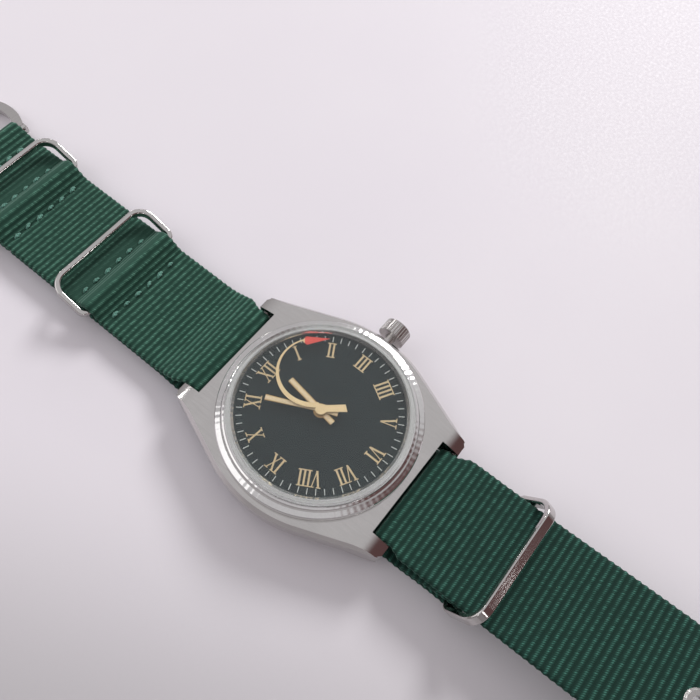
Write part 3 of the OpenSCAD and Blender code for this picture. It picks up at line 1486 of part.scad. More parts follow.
// Turns what follows about the buckle's bar, so that the frame's front lies on the table
module on_bar() {
    translate([0, buckle_y, buckle_z]) rotate([-frame_tilt, 0, 0]) children();
}

// One half of a buckle outline: a bowed side that meets a round front corner
module half_bow_2d(half, length, side_r, corner) {
    intersection() {
        translate([half - side_r, frame_wide_y]) circle(side_r, $fn = 128);
        square([half, frame_wide_y]);
    }
    translate([0, frame_wide_y]) square([half, length - corner - frame_wide_y]);
    translate([0, frame_wide_y]) square([half - corner, length - frame_wide_y]);
    translate([half - corner, length - corner]) circle(corner);
}

module frame_2d() {
    inner = strap_w / 2 + side_gap;
    difference() {
        for (e = [0, 1]) {
            mirror([e, 0]) {
                half_bow_2d(frame_half, frame_len, frame_side_r, frame_corner);
                translate([inner, frame_ear / 2 - frame_back]) square([frame_ear, frame_back + frame_ear]);
                translate([inner + frame_ear / 2, frame_ear / 2 - frame_back]) circle(frame_ear / 2);
            }
        }
        for (e = [0, 1]) {
            mirror([e, 0]) half_bow_2d(frame_half - frame_side, frame_len - frame_front,
                frame_side_r - frame_side, frame_corner - frame_side);
        }
        translate([-inner, -1]) square([2 * inner, frame_wide_y]);
    }
}

module buckle_frame() {
    color("silver") on_bar() {
        translate([0, 0, -frame_t / 2]) linear_extrude(frame_t) frame_2d();
        rotate([0, 90, 0]) cylinder(h = strap_w + 2 * side_gap + 1.8 * frame_ear, r = buckle_bar_r,
            center = true);
    }
}

// Rectangle with round corners, from straight pieces and circles
module rounded_2d(x0, y0, x1, y1, r) {
    translate([x0 + r, y0]) square([x1 - x0 - 2 * r, y1 - y0]);
    translate([x0, y0 + r]) square([x1 - x0, y1 - y0 - 2 * r]);
    for (x = [x0 + r, x1 - r], y = [y0 + r, y1 - r]) {
        translate([x, y]) circle(r);
    }
}

module buckle_tongue() {
    low = frame_t / 2 + 0.02;
    long = frame_len - frame_front / 2 + 0.6;
    color("silver") on_bar() across(tongue_w) difference() {
        union() {
            translate([0, low]) square([long, tongue_t]);
            translate([long, low + tongue_t / 2]) circle(tongue_t / 2);
            circle(low + tongue_t);
        }
        circle(buckle_bar_r + run_gap);
    }
}

// Flat strip with round edges: the section of a keeper
module keeper_section() {
    rounded_2d(-keeper_t / 2, -keeper_band / 2, keeper_t / 2, keeper_band / 2, keeper_edge);
}

// A keeper lies in the plane of x and y, with its lower bar on the x axis
module keeper_loop() {
    half = keeper_half;
    for (k = [[0, keeper_foot], [keeper_h, keeper_corner]]) {
        translate([-half + k[1], k[0], 0]) rotate([90, 0, 90]) linear_extrude(2 * half - 2 * k[1])
            keeper_section();
    }
    for (e = [-1, 1]) {
        translate([e * half, keeper_foot, 0]) rotate([-90, 0, 0])
            linear_extrude(keeper_h - keeper_corner - keeper_foot) keeper_section();
        translate([e * (half - keeper_corner), keeper_h - keeper_corner, 0]) rotate([0, 0, e > 0 ? 0 : 90])
            rotate_extrude(angle = 90) translate([keeper_corner, 0]) keeper_section();
        translate([e * (half - keeper_foot), keeper_foot, 0]) rotate([0, 0, e > 0 ? -90 : 180])
            rotate_extrude(angle = 90) translate([keeper_foot, 0]) keeper_section();
    }
}

module keeper_1() {
    color("silver") translate([0, keeper_1_y, keeper_bar_z]) rotate([keeper_lean, 0, 0]) keeper_loop();
}

module keeper_2() {
    color("silver") translate([0, keeper_2_y, keeper_bar_z]) rotate([keeper_lean, 0, 0]) keeper_loop();
}

module keeper_3() {
    color("silver") translate([0, -keeper_3_y, flap_bar_z]) rotate([180 - flap_keeper_lean, 0, 0])
        keeper_loop();
}

mid_case();
bezel();
crystal();
tension_ring();
case_back();
back_gasket();
crown_tube();
crown();
winding_stem();
dial();
dial_numerals();
hour_hand();
minute_hand();
second_hand();
mainplate();
barrel_bridge();
train_bridge();
balance_cock();
pallet_cock();
barrel();
barrel_cover();
barrel_arbor();
mainspring();
centre_wheel();
third_wheel();
fourth_wheel();
escape_wheel();
pallet_fork();
pallet_stones();
balance_wheel();
hairspring();
ratchet_wheel();
ratchet_screw();
crown_wheel();
click();
click_spring();
winding_pinion();
clutch_wheel();
setting_lever();
yoke();
setting_wheel();
cannon_pinion();
minute_wheel();
hour_wheel();
jewels();
movement_screws();
spring_bars();
bar_tip_12_crown_side();
bar_tip_12_far_side();
bar_tip_6_crown_side();
bar_tip_6_far_side();
strap_long();
strap_flap();
strap_stitching();
strap_eyelets();
buckle_frame();
buckle_tongue();
keeper_1();
keeper_2();
keeper_3();
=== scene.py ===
import math

import bpy
import numpy as np
from bpy.props import FloatProperty, FloatVectorProperty, PointerProperty
from mathutils import Matrix, Vector


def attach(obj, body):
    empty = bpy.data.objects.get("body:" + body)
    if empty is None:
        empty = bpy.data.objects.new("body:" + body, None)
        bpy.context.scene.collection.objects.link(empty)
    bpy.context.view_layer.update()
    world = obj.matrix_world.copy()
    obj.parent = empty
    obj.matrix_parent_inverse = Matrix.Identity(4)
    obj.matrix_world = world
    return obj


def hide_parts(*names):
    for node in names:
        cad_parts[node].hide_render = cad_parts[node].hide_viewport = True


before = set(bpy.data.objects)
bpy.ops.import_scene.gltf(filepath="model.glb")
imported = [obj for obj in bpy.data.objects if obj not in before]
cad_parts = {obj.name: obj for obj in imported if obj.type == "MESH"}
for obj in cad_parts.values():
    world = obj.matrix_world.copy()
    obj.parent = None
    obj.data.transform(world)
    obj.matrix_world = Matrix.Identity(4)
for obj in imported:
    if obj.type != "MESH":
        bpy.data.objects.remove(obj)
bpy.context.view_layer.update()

bl_info = {
    "name": "Hand wound wristwatch on a webbing strap",
    "version": (1, 0, 0),
    "blender": (4, 5, 0),
    "location": "View3D > Sidebar > Watch",
    "description": "Dresses the packed wristwatch: woven strap, stitches, metal, dial, crystal and a plain table",
    "category": "Object",
}

# Lengths are millimetres until a mesh, a lamp or the camera is made from them, unless a comment says metres
MM = 0.001

# Sizes that follow the part's source
WEB_T = 1.15
HALF_W = 10.2
WAIST_HALF_W = 9.3
WAIST_Y = (21.75, 23.75)
FLAP_MID_Z = 0.575
HEAD_MID_Z = 3.025
HEAD_LIFT = 1.2
BAR_Y = 20.6
BAR_Z = 3.4
BAR_SLACK = 0.8
BAR_TURN_R = 1.575
BAR_OVER_Z = 5.775
DROP_LEN = 9.0
RAMP_LEN = 4.4
BUCKLE_Y = 86.0
BUCKLE_Z = 2.35
BUCKLE_TURN_R = 1.775
FLAP_LIFT = 1.25
FLAP_RISE_Y = (22.5, 31.0)
FLAP_KEEPER_Y = 34.0
FLAP_BAR_Z = 3.55
FLAP_TURN_R = 1.725
FLAP_OVER_Z = 6.525
FLAP_FOLD_Y = 24.5
FLAP_PART_Y = 27.5
LAYER_GAP = 0.1
TAIL_Y = 166.0
TAIL_RISE = 5.3
TAIL_REST_Z = 0.765
ARCH_Z = 9.1
ARCH = (26.0, 72.0, 130.0)
POCKETS = (70.2, 44.9)
POCKET_RISE = 2.2
POCKET_HALF = 3.6
FOLD_START_Y = 73.8
FOLD_END_Y = 66.6
EYELETS = [69.0 + 8.0 * i for i in range(11)]
EYELET_CUT = 1.6
SLOT_HALF = 1.2
SLOT_Y = (82.2, 91.2)

# How far in the webbing's edge rounds off, the share of its width that the valleys lose there, and how deep
# a stitch pulls it down
EDGE_ROUND, EDGE_NOTCH, DIMPLE_DEPTH = 0.6, 0.015, 0.16

# Headings of the hands, in degrees from twelve towards the crown
HOUR_HEADING, MINUTE_HEADING, SECOND_HEADING = 8.4, -25.3, 57.7

# How far from its middle line the painted highlight on the face of a straight hand gives way to painted shade, and
# where that painted shade is as dark as at its edge
HAND_HIGHLIGHT = (0.27, 0.36)

# The minute marks are white outside this radius, and the numerals inside it are gold
MARKS_FROM_R = 12.5

# Where the second hand is red: past one distance out, and past another along its own way aside
ARROW_OUT, ARROW_ASIDE, ASIDE_WAY = 9.0, -2.9, (0.62, -0.78, 0)

# The ring round the dial, as radius and height, with the bright slope that the photograph shows
RING_PROFILE = ((13.95, 9.2), (15.29, 9.2), (15.29, 9.34), (14.59, 9.34), (14.59, 10.0), (14.45, 10.0), (13.98, 9.55))

# Stitches as the photograph shows them: rows along the strap and six places across it
STITCH_ROWS = (41.0, 48.6, 66.7, 73.2, 81.2)
STITCH_COLUMNS = -0.42 + 2.73 * (np.arange(6) - 2.5)
STITCH_LENGTH = 1.6

# A stitch's middle over its ends, how far these sink in, and the thread's height as a share of its width
STITCH_ARCH, STITCH_SINK, STITCH_FLAT = 0.2, 0.16, 0.7

# Distance from one yarn to the next along a rib
YARN_STEP = 0.34

# The tail is painted darker than the head as painted shade: ribs counted from the tail's end where the change starts
# and ends
FADE_RIBS = (112.0, 172.0)
TAIL_SHADE = (0.44, 0.63, 0.67, 1.0)

# Stretches of the strap just past a row of stitches, drawn flat by the thread: four places each, and how flat
# the ribs are there
CALM = ((44.8, 45.4, 50.0, 52.2), (70.0, 70.6, 74.6, 77.2))
CALM_SHARES = (0, 1, 0.9, 0)

# Seeds of the uneven ribs and of the uneven stitches
WEAVE_SEED, THREAD_SEED = 11, 5

# Where the table is painted darker as painted shade, in metres: along a way from the key lamp, and all round with
# distance
SHADE_WAY, SHADE_SIDE, SHADE_FAR = (-0.9, -0.35, 0.0), (0.012, 0.062), (0.12, 0.42)
TABLE_HALF = 2500.0

# Lamps: place, size across and the name of the power that drives each
LAMPS = (
    ("key_lamp", (980, 150, 690), 420, "key_power"),
    ("fill_lamp", (-240, 260, 300), 380, "fill_power"),
    ("glint_lamp_1", (110, -430, 110), 40, "glint_power"),
    ("glint_lamp_2", (-150, -410, 150), 40, "glint_power"),
    ("glint_lamp_3", (-340, -290, 170), 40, "glint_power"),
    ("glint_lamp_4", (51, 406, 242), 40, "glint_power"),
    ("glint_lamp_5", (211, 382, 189), 40, "glint_power"),
    ("glint_lamp_6", (335, 297, 162), 40, "glint_power"),
)

# The room's light goes from dim to bright by height and side, with a brown patch low on the six side that
# the camera doesn't see directly
ROOM_TILT, ROOM_RAMP = (0.28, -0.02, 1.0), (0.15, 0.8)
ROOM_DIM, ROOM_BRIGHT = (0.42, 0.39, 0.40, 1), (0.90, 0.89, 0.91, 1)
PATCH_WAY, PATCH_RAMP, PATCH_COLOUR = (0.15, -0.85, 0.5), (0.74, 0.87), (0.19, 0.105, 0.105, 1)
ROOM_STRENGTH = 0.75

# The camera as fitted to the photograph: place, way ahead and way up, then its focal length and the
# picture's width in pixels, and the sensor's width and the nearest distance that it sees
CAMERA_AT = (-34.18, -24.64, 123.37)
CAMERA_AHEAD, CAMERA_UP = (0.3646, 0.2213, -0.9045), (0.6948, 0.5821, 0.4225)
FOCAL_PIXELS, PICTURE_PIXELS, SENSOR_WIDTH, CLIP_START = 746.4, 700.0, 36.0, 5.0


# Numbers and meshes

def srgb(red, green, blue):
    """A colour read off a screen, 0 to 255 a channel, as the linear numbers that the shaders take."""
    c = np.array([red, green, blue]) / 255.0
    linear = np.where(c <= 0.04045, c / 12.92, ((c + 0.055) / 1.055) ** 2.4)
    return tuple(linear) + (1.0,)


def ramp(v, a, b):
    """Half a cosine wave that rises from 0 at a to 1 at b and stays level outside."""
    return 0.5 * (1 - np.cos(np.pi * np.clip((np.asarray(v, float) - a) / (b - a), 0, 1)))


def bump(v, centre, half):
    """One full cosine hump, 1 high at centre and 0 from half away on."""
    u = np.clip((np.asarray(v, float) - centre) / half, -1, 1)
    return 0.5 * (1 + np.cos(np.pi * u))


def put_mesh(name, points, faces, finish, body, uv=None, smooth=True):
    """A mesh from an array of points in millimetres and arrays of faces with three or four corners each."""
    mesh = bpy.data.meshes.new(name)
    points = np.asarray(points, float) * MM
    faces = [np.asarray(f, np.int32) for f in faces if len(f)]
    corners = np.concatenate([f.ravel() for f in faces])
    sizes = np.concatenate([np.full(len(f), f.shape[1], np.int32) for f in faces])
    mesh.vertices.add(len(points))
    mesh.vertices.foreach_set("co", points.ravel())
    mesh.loops.add(len(corners))
    mesh.loops.foreach_set("vertex_index", corners)
    mesh.polygons.add(len(sizes))
    mesh.polygons.foreach_set("loop_start", np.concatenate([[0], np.cumsum(sizes)[:-1]]).astype(np.int32))
    mesh.polygons.foreach_set("use_smooth", np.full(len(sizes), smooth))
    if uv is not None:
        layer = mesh.uv_layers.new(name="weave")
        layer.data.foreach_set("uv", np.asarray(uv, np.float32)[corners].ravel())
    mesh.update(calc_edges=True)
    mesh.validate()
    mesh.materials.append(finish)
    piece = bpy.data.objects.new(name, mesh)
    bpy.context.scene.collection.objects.link(piece)
    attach(piece, body)
    return piece


# Materials

def new_finish(name):
    """An empty material with one Principled shader on its output."""
    finish = bpy.data.materials.new(name)
    finish.use_nodes = True
    nodes = finish.node_tree.nodes
    nodes.clear()
    out = nodes.new("ShaderNodeOutputMaterial")
    shader = nodes.new("ShaderNodeBsdfPrincipled")
    finish.node_tree.links.new(shader.outputs[0], out.inputs[0])
    return finish, shader


def feed(finish, target, values):
    """Gives a node's inputs their values. A value that is a socket is linked, and any other is set."""
    for key, value in values.items():
        if isinstance(value, bpy.types.NodeSocket):
            finish.node_tree.links.new(value, target.inputs[key])
        else:
            target.inputs[key].default_value = value


def node(finish, kind, values=None, **settings):
    """Adds one shader node with its settings and the values of its inputs."""
    made = finish.node_tree.nodes.new("ShaderNode" + kind)
    for key, value in settings.items():
        setattr(made, key, value)
    feed(finish, made, values or {})
    return made


def own_place(finish):
    """Places on the piece that wears the finish, in metres."""
    return node(finish, "TexCoord").outputs["Object"]


def noise(finish, place, scale, detail, roughness=0.5):
    """Soft random marks, smaller with scale and more broken up with detail and roughness."""
    values = {"Vector": place, "Scale": scale, "Detail": detail, "Roughness": roughness}
    return node(finish, "TexNoise", values).outputs[0]


def bent_normal(finish, height, strength, depth):
    """The normal of a surface that a height shapes, with its depth in millimetres."""
    return node(finish, "Bump", {"Height": height, "Strength": strength, "Distance": depth * MM}).outputs[0]


def blend_colours(finish, amount, low, high, way="MIX"):
    """A colour that goes from low to high as amount goes from 0 to 1, or to their product with MULTIPLY."""
    return node(finish, "Mix", {0: amount, 6: low, 7: high}, data_type="RGBA", blend_type=way).outputs[2]


def tinted(colour, *shares):
    """A colour with each channel, or all three, taken as a share of itself, and never over 1."""
    shares = shares * (3 // len(shares))
    return tuple(min(1, c * k) for c, k in zip(colour[:3], shares)) + (1.0,)


def stretch(finish, value, low, high, to_low, to_high):
    """A value moved from one range to another and held inside it."""
    return node(finish, "MapRange", {0: value, 1: low, 2: high, 3: to_low, 4: to_high}).outputs[0]


def eased(finish, value, limits):
    """A smooth rise from 0 at the first limit to 1 at the second."""
    return node(finish, "MapRange", {0: value, 1: limits[0], 2: limits[1], 3: 0.0, 4: 1.0},
                interpolation_type="SMOOTHSTEP").outputs[0]


def component(finish, place, way, scale=1.0):
    """How far a place lies along a way, in metres times scale."""
    way = tuple(w * scale for w in way)
    return node(finish, "VectorMath", {0: place, 1: way}, operation="DOT_PRODUCT").outputs["Value"]


def reckon(finish, operation, first, second=0.0):
    """One sum done by a Math node."""
    return node(finish, "Math", {0: first, 1: second}, operation=operation).outputs[0]


def metal(name, colour, rough, grain=(1, 1, 1), rings=None, scale=2500, relief=0.02, tint=0.9, metallic=1.0,
          polished_sides=False, glints=0):
    """Worked metal. Its grain is noise drawn out along one axis, or turning marks round the rings axis.
    Sides can be polished where the top is satin, and glints is a count of faint ripples round the dial."""
    finish, shader = new_finish(name)
    place = own_place(finish)
    drawn = node(finish, "Mapping", {"Vector": place, "Scale": grain}).outputs[0]
    fine = noise(finish, drawn, scale, 6.0, 0.6)
    broad = noise(finish, place, 160.0, 4.0)
    height = fine
    if rings:
        turned = node(finish, "TexWave", {"Vector": place, "Scale": 420.0, "Distortion": 1.5,
                                          "Detail": 2.0, "Detail Scale": 3.0},
                      wave_type="RINGS", rings_direction=rings).outputs[1]
        height = reckon(finish, "ADD", reckon(finish, "MULTIPLY", turned, 0.5), fine)
    worn = reckon(finish, "MULTIPLY", fine, broad)
    shade = stretch(finish, worn, 0.1, 0.42, 0.0, 1.0)
    gloss = stretch(finish, worn, 0.1, 0.42, rough[1], rough[0])
    if polished_sides:
        level = node(finish, "SeparateXYZ", {0: node(finish, "TexCoord").outputs["Normal"]}).outputs[2]
        top = stretch(finish, level, 0.93, 0.98, 0.0, 1.0)
        gloss = reckon(finish, "ADD", 0.05, reckon(finish, "MULTIPLY", top, gloss))
        height = reckon(finish, "MULTIPLY", height, top)
    if glints:
        spot = node(finish, "SeparateXYZ", {0: place}).outputs
        round_dial = reckon(finish, "ARCTAN2", spot[1], spot[0])
        ripple = reckon(finish, "SINE", reckon(finish, "MULTIPLY", round_dial, glints))
        height = reckon(finish, "ADD", height, reckon(finish, "MULTIPLY", ripple, 1.4))
    feed(finish, shader, {"Base Color": blend_colours(finish, shade, tinted(colour, tint), colour),
                          "Metallic": metallic, "Roughness": gloss,
                          "Normal": bent_normal(finish, height, 0.25, relief)})
    return finish


def webbing_finish(name, crest, valley):
    """Nylon webbing on the strap's own map, in ribs along and millimetres across. A narrow pale line of short
    leaning yarns, each of its own brightness, runs on every rib's crest as a painted highlight over broad dark
    valleys, with painted shade in their depths. The ribs and their painted highlights fade where the strap is
    drawn flat, and there is painted shade in the dimple round each stitch and towards the tail's end."""
    finish, shader = new_finish(name)
    place = node(finish, "UVMap", uv_map="weave").outputs[0]
    split = node(finish, "SeparateXYZ", {0: place}).outputs
    along, across = split[0], split[1]
    flat = node(finish, "Attribute", attribute_name="drawn_flat").outputs["Fac"]
    dimple = node(finish, "Attribute", attribute_name="dimple").outputs["Fac"]
    sway = noise(finish, place, 0.8, 2.0)
    swayed = reckon(finish, "ADD", along, stretch(finish, sway, 0.0, 1.0, -0.1, 0.1))
    rib = reckon(finish, "FLOOR", swayed)
    phase = reckon(finish, "FRACT", swayed)
    crest_wave = reckon(finish, "SINE", reckon(finish, "MULTIPLY", phase, math.pi))
    line = reckon(finish, "POWER", crest_wave, 5.0)
    lean = reckon(finish, "ADD", reckon(finish, "MULTIPLY", across, 1 / YARN_STEP),
                  reckon(finish, "MULTIPLY", phase, 1.3))
    yarn_wave = reckon(finish, "SINE", reckon(finish, "MULTIPLY", reckon(finish, "FRACT", lean), math.pi))
    key = node(finish, "CombineXYZ", {0: rib, 1: reckon(finish, "FLOOR", lean)}).outputs[0]
    chance = node(finish, "TexWhiteNoise", {"Vector": key}, noise_dimensions="2D").outputs["Value"]
    fuzz = noise(finish, place, 3.0, 5.0, 0.7)
    broad = noise(finish, place, 0.1, 3.0)
    yarn = reckon(finish, "MULTIPLY", yarn_wave, stretch(finish, chance, 0.0, 1.0, 0.3, 1.0))
    yarn = reckon(finish, "MULTIPLY", yarn, stretch(finish, fuzz, 0.3, 0.7, 0.6, 1.1))
    # Painted highlight: a pale line on every rib's crest, lighter on some yarns than others, weaker where the strap
    # is drawn flat
    lit = reckon(finish, "MULTIPLY", line, yarn)
    lit = reckon(finish, "MULTIPLY", lit, stretch(finish, flat, 0.0, 1.0, 1.0, 0.25))
    # Painted shade: the deepest part of every valley is painted darker than the valley colour, unevenly in broad
    # clouds
    deep = tinted(valley, 0.72)
    between = reckon(finish, "MULTIPLY", stretch(finish, crest_wave, 0.0, 0.6, 0.35, 1.0),
                     stretch(finish, broad, 0.3, 0.7, 0.75, 1.0))
    base = blend_colours(finish, between, deep, valley)
    lit_weave = blend_colours(finish, lit, base, crest)
    # Where the strap is drawn flat the colour goes to an even mix of the valley colour with a little of the crest's
    # painted highlight colour
    calm = tuple(0.82 * v + 0.18 * c + g for v, c, g in zip(valley[:3], crest[:3], (0.006, 0.002, 0.004))) + (1.0,)
    lit_weave = blend_colours(finish, reckon(finish, "MULTIPLY", flat, 0.55), lit_weave, calm)
    # Painted shade in the dimple that each stitch pulls into the webbing
    dimple_shade = reckon(finish, "MULTIPLY", dimple, 0.6)
    toned = blend_colours(finish, dimple_shade, lit_weave, tinted(valley, 0.5))
    # Painted shade: the tail is painted darker than the head
    towards_head = stretch(finish, along, *FADE_RIBS, 0.0, 1.0)
    tail_shade = blend_colours(finish, towards_head, TAIL_SHADE, (1, 1, 1, 1))
    toned = blend_colours(finish, 1.0, toned, tail_shade, way="MULTIPLY")
    height = reckon(finish, "ADD", reckon(finish, "MULTIPLY", yarn_wave, reckon(finish, "ADD", line, 0.15)),
                    reckon(finish, "MULTIPLY", fuzz, 0.7))
    feed(finish, shader, {"Base Color": toned, "Roughness": stretch(finish, lit, 0.0, 1.0, 0.85, 0.6),
                          "Normal": bent_normal(finish, height, 0.7, 0.07), "Specular IOR Level": 0.3,
                          "Sheen Weight": 0.4, "Sheen Roughness": 0.35, "Sheen Tint": (0.6, 0.95, 0.8, 1.0)})
    return finish


def dress(names, finish):
    """Gives one finish to every material slot of the named CAD nodes."""
    for name in names:
        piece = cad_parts[name]
        if not piece.material_slots:
            piece.data.materials.append(finish)
        for slot in piece.material_slots:
            slot.material = finish


# Strap routes

def arc(centre, radius, start, end, steps=40):
    """Points round a circle between two angles in degrees, as distance to twelve and height."""
    a = np.radians(np.linspace(start, end, steps))
    return np.stack([centre[0] + radius * np.cos(a), centre[1] + radius * np.sin(a)], 1)


def tail_height(s):
    """Height of the tail's middle at a distance s towards six: off the bar, up an arch, down to the table."""
    return (BAR_OVER_Z + (FLAP_OVER_Z - BAR_OVER_Z) * ramp(s, BAR_Y, BAR_Y + TAIL_RISE)
            + (ARCH_Z - FLAP_OVER_Z) * ramp(s, ARCH[0], ARCH[1])
            - (ARCH_Z - TAIL_REST_Z) * ramp(s, ARCH[1], ARCH[2]))


def head_height(y):
    """Height of the strap's middle on the twelve side: off the bar, over two keeper pockets, up to the buckle."""
    return (HEAD_MID_Z + (BAR_OVER_Z - HEAD_MID_Z) * (1 - ramp(y, BAR_Y, BAR_Y + DROP_LEN))
            + POCKET_RISE * (bump(y, POCKETS[0], POCKET_HALF) + bump(y, POCKETS[1], POCKET_HALF))
            + (BUCKLE_Z + BUCKLE_TURN_R - HEAD_MID_Z) * ramp(y, BUCKLE_Y - RAMP_LEN, BUCKLE_Y))


def low_height(y):
    """Height of the lower layer's middle: raised at the flap's keeper and under the head, down at the case."""
    return (FLAP_MID_Z + FLAP_LIFT * ramp(-np.asarray(y), FLAP_RISE_Y[0], FLAP_RISE_Y[1])
            + HEAD_LIFT * (ramp(y, BAR_Y, BAR_Y + DROP_LEN) - ramp(y, FOLD_START_Y, BUCKLE_Y - RAMP_LEN)))


def long_route():
    """The long strap from its tail over a bar, under the case, over the other bar, to the buckle and back."""
    s = np.linspace(TAIL_Y, BAR_Y, 1600)
    y = np.linspace(BAR_Y, BUCKLE_Y, 900)
    back = np.linspace(BUCKLE_Y, FOLD_END_Y, 240)
    inner_y = BAR_Y - 2 * BAR_TURN_R
    return np.concatenate([
        np.stack([-s, tail_height(s)], 1),
        arc((-BAR_Y, BAR_Z + BAR_SLACK), BAR_TURN_R, 81, 0),
        arc((-inner_y, BAR_Z), BAR_TURN_R, 180, 270),
        arc((inner_y, BAR_Z), BAR_TURN_R, 270, 360),
        arc((BAR_Y, BAR_Z + BAR_SLACK), BAR_TURN_R, 180, 99),
        np.stack([y, head_height(y)], 1),
        arc((BUCKLE_Y, BUCKLE_Z), BUCKLE_TURN_R, 78, -90),
        np.stack([back, low_height(back)], 1),
    ])


def flap_route():
    """The flap from under the buckle's strap, under the case, round its keeper's bar and back over itself."""
    y = np.linspace(FOLD_END_Y - 0.6, -FLAP_KEEPER_Y, 900)
    s = np.linspace(FLAP_KEEPER_Y, FLAP_FOLD_Y, 160)
    over = FLAP_BAR_Z + FLAP_TURN_R - low_height(-FLAP_KEEPER_Y) - WEB_T - LAYER_GAP
    return np.concatenate([
        np.stack([y, low_height(y)], 1),
        arc((-FLAP_KEEPER_Y, FLAP_BAR_Z), FLAP_TURN_R, 270, 90),
        np.stack([-s, low_height(-s) + WEB_T + LAYER_GAP + over * ramp(s, FLAP_PART_Y, FLAP_KEEPER_Y)], 1),
    ])


def half_width(y, waisted):
    """Half the webbing's width: the long strap is squeezed between the lugs and full a little way outside."""
    if not waisted:
        return HALF_W + 0 * y
    return np.interp(np.abs(y), WAIST_Y, (WAIST_HALF_W, HALF_W))


def calm_at(y):
    """1 where the thread has drawn the ribs flat past a row of stitches, and 0 on loose webbing."""
    return sum(np.interp(y, places, CALM_SHARES) for places in CALM)


def stitch_pull(x, y):
    """1 at a stitch and 0 from about a millimetre away, for the dimple that each stitch pulls and for its painted
    shade.
    """
    row = np.min(np.abs(np.asarray(y)[..., None] - np.array(STITCH_ROWS)), axis=-1)
    column = np.min(np.abs(np.asarray(x)[..., None] - STITCH_COLUMNS), axis=-1)
    return np.exp(-(row / 0.75) ** 2 - (column / 1.0) ** 2)


def walk(route, rows):
    """Points of a route and unit normals to the left of travel, at the asked distances along it."""
    step = np.hypot(*np.diff(route, axis=0).T)
    route = route[np.concatenate([[True], step > 1e-6])]
    length = np.concatenate([[0], np.cumsum(np.hypot(*np.diff(route, axis=0).T))])
    at = np.stack([np.interp(rows, length, route[:, k]) for k in (0, 1)], 1)
    near = 0.25
    ahead = np.stack([np.interp(np.minimum(rows + near, length[-1]), length, route[:, k]) for k in (0, 1)], 1)
    behind = np.stack([np.interp(np.maximum(rows - near, 0), length, route[:, k]) for k in (0, 1)], 1)
    along = ahead - behind
    along /= np.linalg.norm(along, axis=1)[:, None]
    return at, np.stack([-along[:, 1], along[:, 0]], 1)


def route_length(route):
    """Length of a polyline."""
    return float(np.hypot(*np.diff(route, axis=0).T).sum())


def woven_rows(length, pitch):
    """Row places along a strap: six to a rib, closer together in the valleys."""
    ribs = int(round(length / pitch))
    inside = np.array([0.0, 0.12, 0.3, 0.5, 0.7, 0.88])
    rows = ((np.arange(ribs)[:, None] + inside[None, :]) * (length / ribs)).ravel()
    return np.concatenate([rows, [length]]), length / ribs


def rib_heights(rows, pitch, calm):
    """1 on the crests and 0 in the deepest valleys: each rib is a power of half a sine wave, the valleys
    differ in depth, and they fill up where the strap is drawn flat."""
    phase = (rows / pitch) % 1.0
    phase[-1] = 0.0
    last = int(round(rows[-1] / pitch)) - 1
    number = np.minimum((rows / pitch).astype(int), last)
    uneven = np.random.default_rng(WEAVE_SEED).uniform(0.7, 1.0, number.max() + 1)[number]
    return 1 - (1 - np.sin(np.pi * phase) ** 2.2) * uneven * (1 - 0.7 * calm)


def across_webbing():
    """Places from edge to edge, closer together at the edges, and the share of the thickness that each has."""
    inner = np.array([0, 0.62, SLOT_HALF, 1.9, 2.7, 3.6, 4.5, 5.4, 6.3, 7.2, 8.1, 9.0])
    outer = HALF_W - np.array([EDGE_ROUND, 0.32, 0.1, 0.0])
    half = np.concatenate([inner, outer])
    x = np.concatenate([-half[:0:-1], half])
    past = np.clip(np.abs(x) - (HALF_W - EDGE_ROUND), 0, None) / EDGE_ROUND
    return x, np.sqrt(np.clip(1 - past ** 2, 0, 1))


def ribbon_faces(top, bottom, keep):
    """Quads over and under every cell to keep, and walls between the two where such a cell has no neighbour.
    Quads that shrink to a line at the ribbon's edges, where top and bottom share their points, are left out."""
    i, j = np.nonzero(keep)
    faces = [
        np.stack([top[i, j], top[i + 1, j], top[i + 1, j + 1], top[i, j + 1]], 1),
        np.stack([bottom[i, j], bottom[i, j + 1], bottom[i + 1, j + 1], bottom[i + 1, j]], 1),
    ]
    none = np.zeros((1, keep.shape[1]), bool)
    before, after = np.vstack([none, keep]), np.vstack([keep, none])
    left, right = keep[:, :-1], keep[:, 1:]
    # Each wall stands on one side of its cell, from one corner of the cell to the next, given as steps
    for walled, start, end in ((before & ~after, (0, 1), (0, 0)), (~before & after, (0, 0), (0, 1)),
                               (left & ~right, (0, 1), (1, 1)), (~left & right, (1, 1), (0, 1))):
        i, j = np.nonzero(walled)
        a, b = (i + start[0], j + start[1]), (i + end[0], j + end[1])
        faces.append(np.stack([top[a], top[b], bottom[b], bottom[a]], 1))
    return [f[(np.diff(np.sort(f, axis=1), axis=1) > 0).all(axis=1)] for f in faces]


